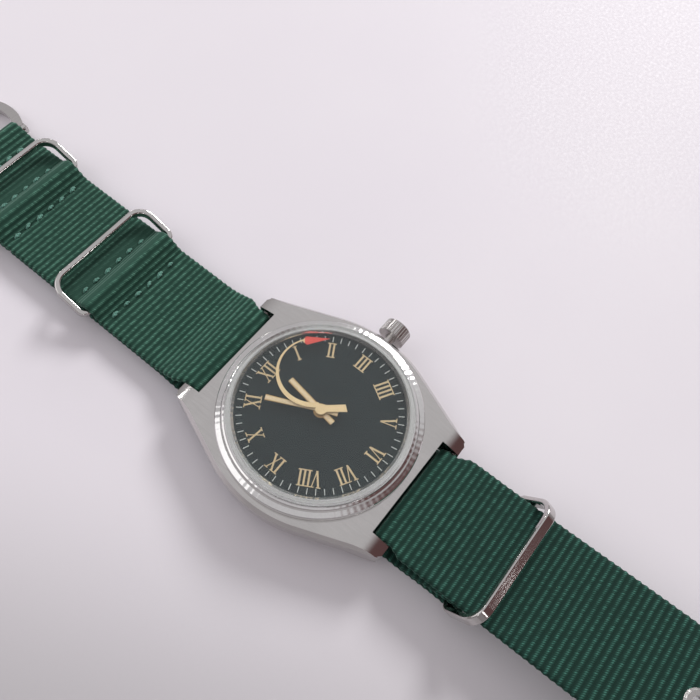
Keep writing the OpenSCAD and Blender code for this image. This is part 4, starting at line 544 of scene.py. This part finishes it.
def web(name, route, finish, sizes, waisted=False, cut=None):
    """A closed ribbed ribbon: the section (a flat oval, across) is carried along the route. The ribs' ends
    stand out at the edges, a waisted ribbon starts with a round end, and cells that cut marks are left out
    and walled."""
    rows, pitch = woven_rows(route_length(route), sizes.rib_pitch / MM)
    at, up = walk(route, rows)
    calm = calm_at(at[:, 0]) * (up[:, 1] > 0)
    rib = rib_heights(rows, pitch, calm)
    x, round_edge = across_webbing()
    depth = sizes.rib_depth / MM
    thick = (WEB_T / 2 - depth * (1 - rib))[:, None] * round_edge[None, :]
    reach = half_width(at[:, 0], waisted) / HALF_W
    if waisted:
        reach *= np.sqrt(np.clip(HALF_W ** 2 - np.clip(HALF_W - rows, 0, None) ** 2, 0.02, None)) / HALF_W
    wide = x[None, :] * (reach * (1 - EDGE_NOTCH * (1 - rib)))[:, None]
    pulled = stitch_pull(wide, at[:, 0:1] + 0 * wide) * (waisted & (at[:, 0] > 0) & (up[:, 1] > 0))[:, None]
    thick = thick - DIMPLE_DEPTH * pulled * round_edge[None, :]
    count = len(x)
    ring = 2 * count - 2
    top = np.arange(len(rows))[:, None] * ring + np.arange(count)[None, :]
    bottom = np.arange(len(rows))[:, None] * ring + (-np.arange(count)[None, :]) % ring
    points = np.zeros((len(rows) * ring, 3))
    marks = np.zeros((len(rows) * ring, 2))
    drawn = np.zeros((len(rows) * ring, 2))
    for index, sign in ((bottom, -1), (top, 1)):
        points[index, 0] = wide
        points[index, 1] = at[:, 0:1] + sign * up[:, 0:1] * thick
        points[index, 2] = at[:, 1:2] + sign * up[:, 1:2] * thick
        marks[index, 0] = (rows / pitch)[:, None] + 0 * wide
        marks[index, 1] = wide
        drawn[index, 0] = (calm[:, None] + 0 * wide) * (sign > 0)
        drawn[index, 1] = pulled * (sign > 0)
    keep = np.ones((len(rows) - 1, count - 1), bool)
    if cut is not None:
        middle_y = 0.5 * (at[1:, 0] + at[:-1, 0])[:, None] + 0 * x[None, 1:]
        middle_x = 0.5 * (x[1:] + x[:-1])[None, :] + 0 * at[1:, 0:1]
        keep = ~cut(middle_x, middle_y)
    faces = facing_out(points, ribbon_faces(top, bottom, keep))
    used = np.unique(np.concatenate([f.ravel() for f in faces]))
    fresh = np.full(len(points), -1)
    fresh[used] = np.arange(len(used))
    faces = [fresh[f] for f in faces]
    piece = put_mesh(name, points[used], faces, finish, "case", uv=marks[used])
    # The dimple attribute marks where the painted shade round each stitch goes
    for index, label in ((0, "drawn_flat"), (1, "dimple")):
        layer = piece.data.attributes.new(label, "FLOAT", "POINT")
        layer.data.foreach_set("value", drawn[used, index].astype(np.float32))
    return piece


def facing_out(points, faces):
    """The groups of faces, turned round if the volume that they enclose comes out negative."""
    volume = 0.0
    for f in faces:
        if len(f):
            a, b, c, d = (points[f[:, k]] for k in range(4))
            volume += np.einsum("ij,ij->", a, np.cross(b, c)) + np.einsum("ij,ij->", a, np.cross(c, d))
    return faces if volume >= 0 else [f[:, ::-1] for f in faces]


def strap_holes(x, y):
    """Cells of the long strap inside an eyelet's hole or the slot for the buckle's tongue."""
    inside = (np.abs(x) < SLOT_HALF) & (y > SLOT_Y[0]) & (y < SLOT_Y[1])
    for s in EYELETS:
        slope = tail_height(s + 0.5) - tail_height(s - 0.5)
        inside |= x ** 2 + ((y + s) * math.hypot(1, slope)) ** 2 < EYELET_CUT ** 2
    return inside


# Sizes and colours

class WatchStrapSizes(bpy.types.PropertyGroup):
    """Sizes and colours of the webbing and its thread"""
    rib_pitch: FloatProperty(name="Rib pitch", description="Distance from one rib of the webbing to the next",
                             default=1.15 * MM, min=0.5 * MM, max=3 * MM, unit="LENGTH", precision=5)
    rib_depth: FloatProperty(name="Rib depth", description="Depth of the valley between two ribs",
                             default=0.2 * MM, min=0.02 * MM, max=0.4 * MM, unit="LENGTH", precision=5)
    thread_radius: FloatProperty(name="Thread radius", description="Radius of the sewing thread",
                                 default=0.34 * MM, min=0.1 * MM, max=0.5 * MM, unit="LENGTH", precision=5)
    # Painted highlight: the rib colour is painted on the lit crests, over the valley colour between the ribs
    crest_highlight_colour: FloatVectorProperty(name="Rib colour", description="Colour of the lit rib crests", size=4,
                                      subtype="COLOR", default=srgb(96, 152, 130), min=0, max=1)
    valley_colour: FloatVectorProperty(name="Valley colour", description="Colour between the ribs", size=4,
                                       subtype="COLOR", default=srgb(22, 60, 48), min=0, max=1)
    thread_colour: FloatVectorProperty(name="Thread colour", description="Colour of the stitches", size=4,
                                       subtype="COLOR", default=srgb(96, 158, 140), min=0, max=1)


class WatchMetalColours(bpy.types.PropertyGroup):
    """Colours of the metal, the hands and the dial"""
    steel: FloatVectorProperty(name="Steel", description="Colour of the case, crown and strap hardware", size=4,
                               subtype="COLOR", default=srgb(205, 202, 200), min=0, max=1)
    gold: FloatVectorProperty(name="Gold", description="Colour of the hands and numerals", size=4,
                              subtype="COLOR", default=srgb(215, 192, 154), min=0, max=1)
    arrow: FloatVectorProperty(name="Arrow", description="Colour of the second hand's arrow head", size=4,
                               subtype="COLOR", default=srgb(196, 66, 56), min=0, max=1)
    dial: FloatVectorProperty(name="Dial", description="Colour of the dial's paint", size=4,
                              subtype="COLOR", default=srgb(7, 23, 25), min=0, max=1)


class WatchStageSizes(bpy.types.PropertyGroup):
    """Colour of the table and power of the lamps"""
    table: FloatVectorProperty(name="Table", description="Colour of the table", size=4, subtype="COLOR",
                               default=srgb(228, 223, 228), min=0, max=1)
    key_power: FloatProperty(name="Key lamp", description="Power of the large soft lamp", default=9.3,
                             min=0, max=20, unit="POWER")
    fill_power: FloatProperty(name="Fill lamp", description="Power of the smaller soft lamp", default=0.3,
                              min=0, max=20, unit="POWER")
    glint_power: FloatProperty(name="Glint lamps", description="Power of each small lamp that glints on the bezel",
                               default=0.05, min=0, max=20, unit="POWER")


# Pieces

class WatchWeaveStrap(bpy.types.Operator):
    """Weaves the long strap and the flap, ribbed and rounded at the edges"""
    bl_idname = "watch.weave_strap"
    bl_label = "Webbing strap"

    def execute(self, context):
        sizes = context.scene.watch_strap
        finish = webbing_finish("green_webbing", tuple(sizes.crest_highlight_colour), tuple(sizes.valley_colour))
        strap = web("webbing_long", long_route(), finish, sizes, waisted=True, cut=strap_holes)
        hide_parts("strap_long")
        flap = web("webbing_flap", flap_route(), finish, sizes)
        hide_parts("strap_flap")
        return {"FINISHED"}


class WatchSewStitches(bpy.types.Operator):
    """Sews the rows of stitches that hold the keepers' pockets and the buckle's fold"""
    bl_idname = "watch.sew_stitches"
    bl_label = "Stitches"

    def execute(self, context):
        sizes = context.scene.watch_strap
        finish, shader = new_finish("teal_thread")
        place = node(finish, "UVMap", uv_map="weave").outputs[0]
        ply = node(finish, "TexWave", {"Vector": place, "Scale": 1.6, "Distortion": 1.0, "Detail": 3.0},
                   bands_direction="DIAGONAL").outputs[1]
        fluff = noise(finish, place, 14.0, 4.0)
        thread = tuple(sizes.thread_colour)
        # Painted shade: the thread is painted darker in the grooves between its plies, with its own colour on their
        # lit tops
        lit = reckon(finish, "MULTIPLY", ply, stretch(finish, fluff, 0.3, 0.7, 0.6, 1.2))
        feed(finish, shader, {"Base Color": blend_colours(finish, lit, tinted(thread, 0.45), thread),
                              "Roughness": stretch(finish, fluff, 0.3, 0.7, 0.45, 0.75), "Sheen Weight": 0.3,
                              "Normal": bent_normal(finish, reckon(finish, "ADD", ply, fluff), 0.6, 0.04)})
        points, faces, marks = stitch_rows(sizes.thread_radius / MM)
        rows = put_mesh("thread_stitches", points, faces, finish, "case", uv=marks)
        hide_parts("strap_stitching")
        return {"FINISHED"}


def stitch_rows(radius):
    """Every stitch is a soft two-ply thread: a flattened circle whose radius swells twice round and turns
    with travel, carried along a low arch whose ends sink into the webbing, small and flat at both ends."""
    turns, steps = 16, 21
    stitches = len(STITCH_COLUMNS)
    t = np.linspace(0, 1, steps)
    a = np.linspace(0, 2 * np.pi, turns, endpoint=False)
    hump = np.sqrt(np.clip(np.sin(np.pi * t), 0, 1))
    swell, twist = 0.16, 2.2 * np.pi
    ply = 1 + swell * np.cos(2 * (a[None, :] - twist * t[:, None]))
    r = (radius * hump + 0.02)[:, None] * ply
    lie_x = (t - 0.5) * STITCH_LENGTH
    lie_z = STITCH_ARCH * hump - STITCH_SINK
    one = np.stack([lie_x[:, None] + 0 * r, r * np.cos(a)[None, :],
                    lie_z[:, None] + r * np.sin(a)[None, :] * STITCH_FLAT], 2)
    uv_one = np.stack([lie_x[:, None] + 0 * r, a[None, :] * 0.2 + 0 * r], 2).reshape(-1, 2)
    one = one.reshape(-1, 3)
    draw = np.random.default_rng(THREAD_SEED)
    points, uv = [], []
    for row in STITCH_ROWS:
        y = np.full(stitches, row) + draw.uniform(-0.15, 0.15, stitches)
        slope = np.arctan2(head_height(y + 0.3) - head_height(y - 0.3), 0.6)
        turn = np.radians(10 + draw.uniform(-14, 14, stitches))
        x = STITCH_COLUMNS + draw.uniform(-0.1, 0.1, stitches)
        full = draw.uniform(0.8, 1.1, stitches)[:, None]
        plan_x = full * (one[None, :, 0] * np.cos(turn)[:, None] - one[None, :, 1] * np.sin(turn)[:, None])
        plan_y = full * (one[None, :, 0] * np.sin(turn)[:, None] + one[None, :, 1] * np.cos(turn)[:, None])
        lift = one[None, :, 2] + WEB_T / 2
        points.append(np.stack([
            x[:, None] + plan_x,
            y[:, None] + plan_y * np.cos(slope)[:, None] - lift * np.sin(slope)[:, None],
            head_height(y)[:, None] + plan_y * np.sin(slope)[:, None] + lift * np.cos(slope)[:, None],
        ], 2).reshape(-1, 3))
        uv.append(np.tile(uv_one, (stitches, 1)))
    i, j = np.meshgrid(np.arange(steps - 1), np.arange(turns), indexing="ij")
    k = (j + 1) % turns
    tube = np.stack([i * turns + j, (i + 1) * turns + j, (i + 1) * turns + k, i * turns + k], 2).reshape(-1, 4)
    # Each end is closed by quads across its small ring
    pairs = np.arange(turns // 2 - 1)
    cap = np.stack([pairs, pairs + 1, turns - 2 - pairs, turns - 1 - pairs], 1)
    tube = np.concatenate([tube, cap, (cap + (steps - 1) * turns)[:, ::-1]])
    count = len(STITCH_ROWS) * stitches
    faces = (tube[None] + (np.arange(count) * len(one))[:, None, None]).reshape(-1, 4)
    points = np.concatenate(points)
    return points, facing_out(points, [faces]), np.concatenate(uv)


def turned_ring(name, profile, finish, steps=256):
    """A closed ring: every point of the profile, a radius and a height, goes once round the dial's middle."""
    profile = np.array(profile, float)
    turn = np.linspace(0, 2 * np.pi, steps, endpoint=False)
    points = np.stack([profile[None, :, 0] * np.cos(turn)[:, None], profile[None, :, 0] * np.sin(turn)[:, None],
                       profile[None, :, 1] + 0 * turn[:, None]], 2).reshape(-1, 3)
    i, j = np.meshgrid(np.arange(steps), np.arange(len(profile)), indexing="ij")
    a, b = (i + 1) % steps, (j + 1) % len(profile)
    count = len(profile)
    faces = np.stack([i * count + j, a * count + j, a * count + b, i * count + b], 2).reshape(-1, 4)
    return put_mesh(name, points, facing_out(points, [faces]), finish, "case", smooth=False)


class WatchFinishCase(bpy.types.Operator):
    """Satin case, turned bezel, fluted crown and the case back with its gasket"""
    bl_idname = "watch.finish_case"
    bl_label = "Case, bezel and crown"

    def execute(self, context):
        steel = tuple(context.scene.watch_metal.steel)
        dress(["mid_case"], metal("case_satin", steel, (0.07, 0.15), grain=(1, 0.06, 1), scale=3500, relief=0.002,
                                  polished_sides=True))
        dress(["bezel"], metal("bezel_turned", srgb(222, 220, 219), (0.07, 0.14), rings="Z", scale=3000, relief=0.02,
                               glints=96))
        dress(["crown"], metal("crown_steel_worked", steel, (0.14, 0.28), rings="X", scale=4000, relief=0.01))
        dress(["case_back"], metal("back_turned", steel, (0.12, 0.3), rings="Z", scale=2500, relief=0.02))
        dress(["crown_tube", "spring_bars", "bar_tip_12_crown_side", "bar_tip_12_far_side",
               "bar_tip_6_crown_side", "bar_tip_6_far_side"],
              metal("bar_steel", steel, (0.18, 0.35), grain=(0.1, 1, 1), scale=4000))
        bright = metal("ring_turned_steel", srgb(214, 212, 210), (0.07, 0.15), rings="Z", scale=3000, metallic=0.92,
                       relief=0.02, glints=96)
        ring = turned_ring("rehaut_ring", RING_PROFILE, bright)
        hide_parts("tension_ring")
        gasket, shader = new_finish("gasket_rubber")
        grit = noise(gasket, own_place(gasket), 5000.0, 4.0)
        feed(gasket, shader, {"Base Color": blend_colours(gasket, grit, srgb(18, 18, 19), srgb(38, 37, 37)),
                              "Roughness": stretch(gasket, grit, 0.3, 0.7, 0.6, 0.85),
                              "Normal": bent_normal(gasket, grit, 0.4, 0.02)})
        dress(["back_gasket"], gasket)
        return {"FINISHED"}


class WatchFitCrystal(bpy.types.Operator):
    """Clear domed crystal that lets the lamps through to the dial"""
    bl_idname = "watch.fit_crystal"
    bl_label = "Crystal"

    def execute(self, context):
        glass, shader = new_finish("acrylic_crystal")
        haze = noise(glass, own_place(glass), 900.0, 5.0, 0.7)
        feed(glass, shader, {"Base Color": (0.97, 0.985, 0.98, 1.0), "Transmission Weight": 1.0, "IOR": 1.49,
                             "Roughness": stretch(glass, haze, 0.55, 0.8, 0.0, 0.0015)})
        out = glass.node_tree.nodes["Material Output"]
        clear = node(glass, "BsdfTransparent", {"Color": (0.95, 0.97, 0.96, 1.0)})
        ray = node(glass, "LightPath").outputs["Is Shadow Ray"]
        mix = node(glass, "MixShader", {0: ray, 1: shader.outputs[0], 2: clear.outputs[0]})
        glass.node_tree.links.new(mix.outputs[0], out.inputs[0])
        dress(["crystal"], glass)
        return {"FINISHED"}


def dial_paint(dial):
    """Matt paint with slightly lighter specks that come and go in clouds."""
    finish, shader = new_finish("dial_green_black")
    place = own_place(finish)
    speck = stretch(finish, noise(finish, place, 9000.0, 3.0), 0.45, 0.75, 0.0, 1.0)
    cloud = noise(finish, place, 220.0, 4.0)
    lighter = tuple(c * 1.2 + 0.001 for c in dial[:3]) + (1.0,)
    specks = blend_colours(finish, reckon(finish, "MULTIPLY", speck, cloud), dial, lighter)
    feed(finish, shader, {"Base Color": specks, "Roughness": stretch(finish, cloud, 0.3, 0.7, 0.5, 0.65),
                          "Normal": bent_normal(finish, cloud, 0.04, 0.005), "Specular IOR Level": 0.08})
    return finish


def worn_gold(name, gold, worn):
    """The start of a gold finish: the finish, its shader, its places, its fine marks and its colour."""
    finish, shader = new_finish(name)
    place = own_place(finish)
    fine = noise(finish, place, 6000.0, 4.0)
    return finish, shader, place, fine, blend_colours(finish, fine, tinted(gold, *worn), gold)


def gild(finish, shader, fine, colour, metallic, rough):
    """The end of a gold finish: its colour, with gloss and a faint relief that follow the fine marks."""
    feed(finish, shader, {"Base Color": colour, "Metallic": metallic,
                          "Roughness": stretch(finish, fine, 0.3, 0.7, *rough),
                          "Normal": bent_normal(finish, fine, 0.15, 0.01)})
    return finish


def printed_gold(gold):
    """Gold for the numerals and white for the minute marks outside them."""
    finish, shader, place, fine, colour = worn_gold("printed_gold", tinted(gold, 0.8), (0.86, 0.8, 0.68))
    flat = node(finish, "Mapping", {"Vector": place, "Scale": (1 / MM, 1 / MM, 0)}).outputs[0]
    radius = node(finish, "VectorMath", {0: flat}, operation="LENGTH").outputs["Value"]
    marks = stretch(finish, radius, MARKS_FROM_R - 0.02, MARKS_FROM_R + 0.02, 0.0, 1.0)
    colour = blend_colours(finish, marks, colour, srgb(176, 178, 174))
    return gild(finish, shader, fine, colour, 0.35, (0.25, 0.42))


def hand_gold(name, gold, heading):
    """Gold for a straight hand, with a painted highlight along its middle and painted shade at its edges."""
    finish, shader, place, fine, colour = worn_gold(name, gold, (0.86, 0.8, 0.68))
    turn = math.radians(heading)
    across = component(finish, place, (math.cos(turn), -math.sin(turn), 0), 1 / MM)
    edge = stretch(finish, reckon(finish, "ABSOLUTE", across), *HAND_HIGHLIGHT, 0.0, 1.0)
    # Painted highlight along the hand's middle, and painted shade towards its edges
    face = blend_colours(finish, fine, colour, tinted(gold, 1.06, 1.1, 1.25))
    colour = blend_colours(finish, edge, face, tinted(gold, 0.7, 0.58, 0.4))
    return gild(finish, shader, fine, colour, 0.75, (0.25, 0.42))


def second_hand_gold(gold, arrow):
    """Gold for the bent second hand, with its red arrow head."""
    finish, shader, place, fine, colour = worn_gold("second_hand_gold_and_red", gold, (0.86, 0.78, 0.62))
    turn = math.radians(SECOND_HEADING)
    outward = component(finish, place, (math.sin(turn), math.cos(turn), 0), 1 / MM)
    aside = component(finish, place, ASIDE_WAY, 1 / MM)
    past = stretch(finish, aside, ARROW_ASIDE, ARROW_ASIDE + 0.1, 0.0, 1.0)
    far = stretch(finish, outward, ARROW_OUT, ARROW_OUT + 0.1, 0.0, 1.0)
    colour = blend_colours(finish, reckon(finish, "MULTIPLY", past, far), colour, arrow)
    return gild(finish, shader, fine, colour, 0.45, (0.28, 0.45))


class WatchPaintDial(bpy.types.Operator):
    """Dark green dial, gold numerals with white minute marks, gold hands and the red arrow head"""
    bl_idname = "watch.paint_dial"
    bl_label = "Dial, numerals and hands"

    def execute(self, context):
        colours = context.scene.watch_metal
        gold = tuple(colours.gold)
        dress(["dial"], dial_paint(tuple(colours.dial)))
        dress(["dial_numerals"], printed_gold(gold))
        dress(["hour_hand"], hand_gold("hour_hand_gold", gold, HOUR_HEADING))
        dress(["minute_hand"], hand_gold("minute_hand_gold", gold, MINUTE_HEADING))
        dress(["second_hand"], second_hand_gold(gold, tuple(colours.arrow)))
        return {"FINISHED"}


class WatchFinishHardware(bpy.types.Operator):
    """Polished keepers, buckle, tongue and eyelets"""
    bl_idname = "watch.finish_hardware"
    bl_label = "Strap hardware"

    def execute(self, context):
        steel = tuple(context.scene.watch_metal.steel)
        dress(["keeper_1", "keeper_2", "keeper_3", "buckle_frame", "buckle_tongue"],
              metal("keeper_polished", steel, (0.05, 0.11), grain=(0.2, 1, 1), scale=1800, relief=0.0006))
        dress(["strap_eyelets"], metal("eyelet_pressed", steel, (0.14, 0.3), scale=2500, relief=0.015))
        return {"FINISHED"}


class WatchFinishMovement(bpy.types.Operator):
    """Grained nickel plates, brass train, steel keyless work, blued springs and ruby jewels"""
    bl_idname = "watch.finish_movement"
    bl_label = "Movement"

    def execute(self, context):
        dress(["mainplate", "pallet_cock"],
              metal("plate_frosted_nickel", srgb(200, 196, 186), (0.28, 0.45), scale=5000, relief=0.02))
        dress(["barrel_bridge", "train_bridge", "balance_cock"],
              metal("bridge_grained_nickel", srgb(206, 202, 192), (0.2, 0.38), grain=(0.05, 1, 1),
                    scale=3500, relief=0.02))
        dress(["barrel", "barrel_cover", "centre_wheel", "third_wheel", "fourth_wheel", "escape_wheel",
               "balance_wheel", "minute_wheel", "hour_wheel"],
              metal("train_brass", srgb(214, 176, 104), (0.18, 0.34), scale=4500, relief=0.012))
        dress(["barrel_arbor", "ratchet_wheel", "crown_wheel", "click", "winding_pinion", "clutch_wheel",
               "setting_lever", "yoke", "setting_wheel", "cannon_pinion", "winding_stem", "pallet_fork"],
              metal("inner_steel_worked", srgb(190, 192, 196), (0.16, 0.34), scale=4000, relief=0.012))
        dress(["movement_screws", "ratchet_screw", "click_spring", "mainspring", "hairspring"],
              metal("blued_steel_tempered", srgb(52, 66, 128), (0.14, 0.3), scale=3500, tint=0.6))
        ruby, shader = new_finish("ruby_jewel")
        cloud = noise(ruby, own_place(ruby), 1800.0, 3.0)
        feed(ruby, shader, {"Base Color": blend_colours(ruby, cloud, srgb(150, 12, 44), srgb(214, 40, 78)),
                            "Roughness": stretch(ruby, cloud, 0.3, 0.7, 0.04, 0.12),
                            "Transmission Weight": 0.35, "IOR": 1.76})
        dress(["jewels", "pallet_stones"], ruby)
        return {"FINISHED"}


def table_finish(pale):
    """Matt paint in faint clouds, with painted shade away from the key lamp and with distance."""
    finish, shader = new_finish("pale_table")
    place = own_place(finish)
    cloud = noise(finish, place, 9.0, 5.0)
    grit = noise(finish, place, 1400.0, 4.0)
    side = eased(finish, component(finish, place, SHADE_WAY), SHADE_SIDE)
    distance = node(finish, "VectorMath", {0: place}, operation="LENGTH").outputs["Value"]
    dim = reckon(finish, "MAXIMUM", side, eased(finish, distance, SHADE_FAR))
    clouds = stretch(finish, cloud, 0.35, 0.65, 0.0, 1.0)
    near = blend_colours(finish, clouds, tinted(pale, 0.955, 0.95, 0.965), pale)
    # Painted shade: the table's colour goes darker as dim rises
    feed(finish, shader, {"Base Color": blend_colours(finish, dim, near, tinted(pale, 0.58, 0.585, 0.575)),
                          "Roughness": stretch(finish, grit, 0.3, 0.7, 0.5, 0.7),
                          "Normal": bent_normal(finish, grit, 0.05, 0.02)})
    return finish


def lay_table(scene, finish):
    """The table's top, one square at height 0."""
    mesh = bpy.data.meshes.new("table_top")
    corners = np.array([[-1, -1, 0], [1, -1, 0], [1, 1, 0], [-1, 1, 0]]) * TABLE_HALF * MM
    mesh.from_pydata(corners.tolist(), [], [(0, 1, 2, 3)])
    mesh.materials.append(finish)
    floor = bpy.data.objects.new("table_top", mesh)
    scene.collection.objects.link(floor)


def light_room(scene):
    """The room's soft light, with its brown patch kept from the camera's own rays."""
    world = bpy.data.worlds.new("pale_room")
    scene.world = world
    world.use_nodes = True
    world.node_tree.nodes.clear()
    way = node(world, "TexCoord").outputs["Generated"]
    height = stretch(world, component(world, way, ROOM_TILT), *ROOM_RAMP, 0.0, 1.0)
    room = blend_colours(world, height, ROOM_DIM, ROOM_BRIGHT)
    patch = stretch(world, component(world, way, PATCH_WAY), *PATCH_RAMP, 0.0, 1.0)
    unseen = reckon(world, "SUBTRACT", 1.0, node(world, "LightPath").outputs["Is Camera Ray"])
    room = blend_colours(world, reckon(world, "MULTIPLY", patch, unseen), room, PATCH_COLOUR)
    light = node(world, "Background", {0: room, 1: ROOM_STRENGTH}).outputs[0]
    node(world, "OutputWorld", {0: light})


def hang_lamps(scene, sizes):
    """Round lamps that all look at the dial's middle."""
    for name, spot, size, power in LAMPS:
        data = bpy.data.lights.new(name, "AREA")
        data.shape = "DISK"
        data.size = size * MM
        data.energy = getattr(sizes, power)
        lamp = bpy.data.objects.new(name, data)
        scene.collection.objects.link(lamp)
        lamp.location = Vector(spot) * MM
        lamp.rotation_euler = (-Vector(spot)).to_track_quat("-Z", "Y").to_euler()


def place_camera(scene):
    """The camera where the photograph was taken from."""
    ahead = Vector(CAMERA_AHEAD).normalized()
    right = ahead.cross(Vector(CAMERA_UP)).normalized()
    up = right.cross(ahead).normalized()
    data = bpy.data.cameras.new("photo_camera")
    data.sensor_width = SENSOR_WIDTH
    data.lens = SENSOR_WIDTH * FOCAL_PIXELS / PICTURE_PIXELS
    data.clip_start = CLIP_START * MM
    camera = bpy.data.objects.new("photo_camera", data)
    scene.collection.objects.link(camera)
    turn = Matrix((right, up, -ahead)).transposed().to_4x4()
    camera.matrix_world = Matrix.Translation(Vector(CAMERA_AT) * MM) @ turn
    scene.camera = camera


class WatchSetStage(bpy.types.Operator):
    """Pale table, soft room light, soft lamps and the camera at the photograph's angle"""
    bl_idname = "watch.set_stage"
    bl_label = "Table, light and camera"

    def execute(self, context):
        scene = context.scene
        lay_table(scene, table_finish(tuple(scene.watch_stage.table)))
        light_room(scene)
        hang_lamps(scene, scene.watch_stage)
        place_camera(scene)
        scene.view_settings.view_transform = "Standard"
        return {"FINISHED"}


OPERATORS = (WatchSetStage, WatchWeaveStrap, WatchSewStitches, WatchFinishCase, WatchFitCrystal, WatchPaintDial,
             WatchFinishHardware, WatchFinishMovement)
GROUPS = {"watch_strap": WatchStrapSizes, "watch_metal": WatchMetalColours, "watch_stage": WatchStageSizes}


class WatchPanel(bpy.types.Panel):
    """Lists the watch's pieces in the 3D view's sidebar"""
    bl_idname = "VIEW3D_PT_watch"
    bl_label = "Wristwatch"
    bl_space_type = "VIEW_3D"
    bl_region_type = "UI"
    bl_category = "Watch"

    def draw(self, context):
        for attribute, group in GROUPS.items():
            box = self.layout.box()
            for field in group.__annotations__:
                box.prop(getattr(context.scene, attribute), field)
        for operator in OPERATORS:
            self.layout.operator(operator.bl_idname)


CLASSES = tuple(GROUPS.values()) + OPERATORS + (WatchPanel,)


def register():
    """Adds the classes and gives each group of sizes its place on the scene."""
    for item in CLASSES:
        bpy.utils.register_class(item)
    for attribute, group in GROUPS.items():
        setattr(bpy.types.Scene, attribute, PointerProperty(type=group))


def unregister():
    """Takes the groups and the classes away again, last first."""
    for attribute in GROUPS:
        delattr(bpy.types.Scene, attribute)
    for item in reversed(CLASSES):
        bpy.utils.unregister_class(item)


def main():
    """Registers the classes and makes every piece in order."""
    register()
    for operator in OPERATORS:
        group, call = operator.bl_idname.split(".")
        getattr(getattr(bpy.ops, group), call)()


if __name__ == "__main__":
    main()
